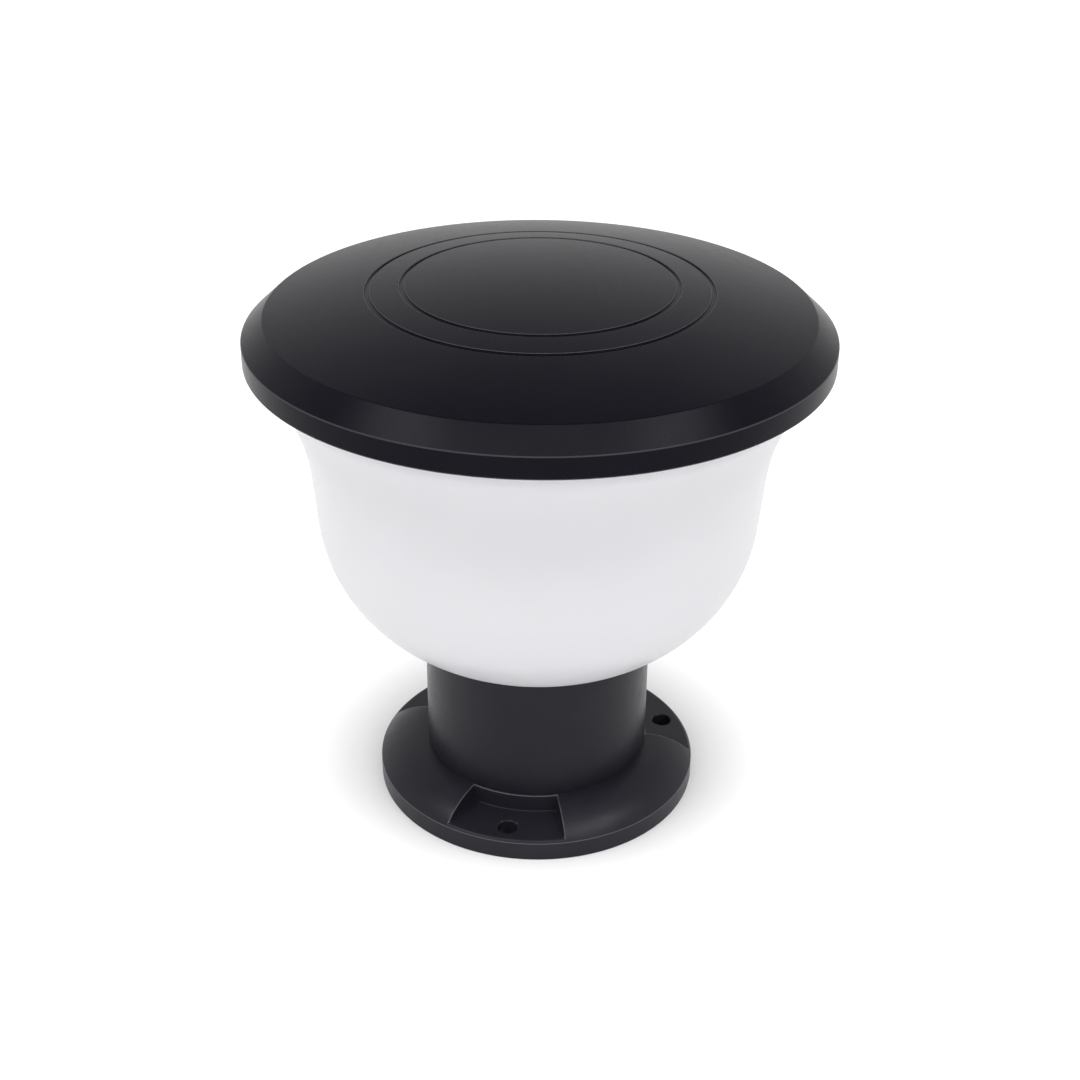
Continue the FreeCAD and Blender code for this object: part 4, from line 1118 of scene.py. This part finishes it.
def make_bracket():
    low, seat = span("lampholder_bracket")
    foot_top = low + bracket_t
    outer = bracket_top_half + bracket_t
    foot_end = outer + bracket_foot_l
    half = [(foot_end, low, fine_edge), (foot_end, foot_top, fine_edge),
            (outer, foot_top, bend_r - bracket_t / 2), (outer, seat, bend_r)]
    inner = [(bracket_top_half, seat - bracket_t, bend_r - bracket_t / 2), (bracket_top_half, low, bend_r)]
    outline = half + [(-x, z, e) for x, z, e in half[::-1]] + [(-x, z, e) for x, z, e in inner[::-1]] + inner
    strip = prism("bracket", rounded(outline), bracket_w, broken_edge)
    holes = [rod("hole", screw_hole_r, low - overrun, foot_top + overrun, x)
             for x in (-bracket_screw_x, bracket_screw_x)]
    holes += [rod("hole", holder_screw_r, low, seat + overrun, x) for x in (-holder_screw_x, holder_screw_x)]
    combine(strip, "DIFFERENCE", holes)
    turned(strip, lamp_turn_deg)
    dress(strip, "base", "steel_zinc", materials["steel_zinc"], "lampholder_bracket")


# Bulb

bulb_r = 30.0
globe_wall = 1.2
globe_step = 2.0
globe_inner_step = 3.0
globe_lip_gap = 0.2
globe_lip_h = 1.3
housing_wall = 1.8
housing_neck_r = 14.2
housing_shoulder_r = 15.6
housing_shoulder_h = 4.0
housing_groove_drop = 5.0
housing_groove = 0.6
housing_groove_edge = 0.15
housing_rim_edge = 0.25
housing_shoulder_round = 3.0
screw_cap_foot_r = 11.0
screw_cap_foot_h = 1.6
screw_cap_wall = 0.6


def make_bulb():
    joint = span("bulb_housing")[1]
    top = span("bulb_globe")[1]
    centre = (0, top - bulb_r)
    edge_r = math.sqrt(bulb_r ** 2 - (centre[1] - joint) ** 2)
    inner = bulb_r - globe_wall
    inner_edge = (math.sqrt(inner ** 2 - (centre[1] - joint) ** 2), joint)
    lip_r = edge_r - housing_wall - globe_lip_gap
    lip_low = joint - globe_lip_h
    outline = [(lip_r - globe_wall, lip_low, fine_edge), (lip_r, lip_low, fine_edge), (lip_r, joint),
               (edge_r, joint)]
    outline += arc(centre, (edge_r, joint), (0, top), globe_step) + [(0, top), (0, top - globe_wall)]
    outline += arc(centre, (0, top - globe_wall), inner_edge, globe_inner_step)
    outline += [inner_edge, (lip_r - globe_wall, joint)]
    globe = lathe("globe", outline, round_columns)
    dress(globe, "bulb", "bulb_white", materials["bulb_white"], "bulb_globe")

    low = span("bulb_housing")[0]
    shoulder_z = low + housing_shoulder_h
    slope = (edge_r - housing_shoulder_r) / (joint - shoulder_z)

    def side(z):
        return housing_shoulder_r + (z - shoulder_z) * slope

    groove = joint - housing_groove_drop
    outline = [(0, low), (housing_neck_r, low, soft_edge),
               (housing_shoulder_r, shoulder_z, housing_shoulder_round)]
    for z, sunk in ((groove - housing_groove, 0), (groove - housing_groove / 2, 1),
                    (groove + housing_groove / 2, 1), (groove + housing_groove, 0)):
        outline.append((side(z) - sunk * housing_groove / 2, z, housing_groove_edge))
    outline += [(edge_r, joint, housing_rim_edge), (edge_r - housing_wall, joint, housing_rim_edge),
                (side(shoulder_z) - housing_wall, shoulder_z, broad_edge),
                (housing_neck_r - housing_wall, low + housing_wall, soft_edge), (0, low + housing_wall)]
    housing = lathe("housing", outline, round_columns)
    dress(housing, "bulb", "bulb_white", materials["bulb_white"], "bulb_housing")

    low, high = span("bulb_screw_cap")
    root_r = width("bulb_screw_cap") / 2 - lamp_thread_step

    def cap_side(z):
        share = min(1.0, (z - low) / screw_cap_foot_h)
        return screw_cap_foot_r + (root_r - screw_cap_foot_r) * math.sin(share * math.pi / 2)

    cap = threaded("screw_cap", low, high, cap_side, lambda z: cap_side(z) - screw_cap_wall,
                   lamp_thread_step, lamp_pitch, lamp_columns, lamp_rows)
    dress(cap, "bulb", "nickel", materials["nickel"], "bulb_screw_cap")


# Cap ring and its gasket

ring_t = 2.4
ring_wall = 2.2
ring_inner_r = 97.0
ring_bevel_w = 2.6
ring_bevel_h = 2.4
lip_w = 1.7
lip_h = 1.7
gasket_side = 0.4
gasket_round = 0.8
gasket_in_r = 109.4
ring_lug_r = 114.4
ring_lug_h = 2.0
ring_turn_deg = -22.0


def make_cap_ring():
    low, top = span("cap_ring")
    outer = width("cap_ring") / 2
    bore = outer - ring_wall
    under = top - ring_t
    channel_in = gasket_in_r - gasket_side
    channel_out = width("cap_gasket") / 2 + gasket_side
    tip = under - lip_h
    outline = [(ring_inner_r, under, fine_edge), (channel_in - lip_w, under, small_edge),
               (channel_in - lip_w, tip, small_edge), (channel_in, tip, small_edge),
               (channel_in, under, broken_edge), (channel_out, under, broken_edge),
               (channel_out, tip, small_edge), (channel_out + lip_w, tip, small_edge),
               (channel_out + lip_w, under, small_edge), (bore, under, plain_edge),
               (bore, low, soft_edge), (outer, low, soft_edge), (outer, top - ring_bevel_h, soft_edge),
               (outer - ring_bevel_w, top, soft_edge), (ring_inner_r, top, fine_edge)]
    ring = lathe("bayonet_ring", outline)
    lugs = [sector("lug", ring_lug_r, bore + ring_wall / 2, low, low + ring_lug_h,
                   360 * i / lug_count + ring_turn_deg, lug_half_deg, small_edge)
            for i in range(lug_count)]
    combine(ring, "UNION", lugs)
    combine(ring, "DIFFERENCE", [rod("hole", screw_hole_r, under - overrun, top + overrun, x, y)
                                 for x, y in cap_screw_places()])
    turned(ring, lamp_turn_deg)
    dress(ring, "cap", "cast_black", materials["cast_black"], "cap_ring")


def make_cap_gasket():
    low, high = span("cap_gasket")
    seal = pipe("cap_seal_ring", width("cap_gasket") / 2, gasket_in_r, low, high,
                edge=gasket_round)
    dress(seal, "cap_seal", "grey_silicone", materials["grey_silicone"], "cap_gasket")


make_camera()
materials = make_materials()
make_stage()
make_world()
make_lights()
bpy.context.scene.view_settings.view_transform = "Standard"

# Each CAD node's own finish
for part in frame["record"]["subparts"]:
    mesh = nodes[part["node"]].data
    mesh.materials.clear()
    mesh.materials.append(materials[part["material_slot"]])

make_cap()
make_shade()
make_post()
make_base()
make_lampholder()
make_socket_shell()
make_bracket()
make_bulb()
make_cap_ring()
make_cap_gasket()
pan_screws("plate_pan_screws", "plate_screws", port_places(), "base")
pan_screws("base_pan_screws", "base_screws", port_places(), "base", heads_up=False)
pan_screws("bracket_pan_screws", "bracket_screws", [(-bracket_screw_x, 0), (bracket_screw_x, 0)], "base")
pan_screws("cap_pan_screws", "cap_ring_screws", cap_screw_places(), "cap", heads_up=False)
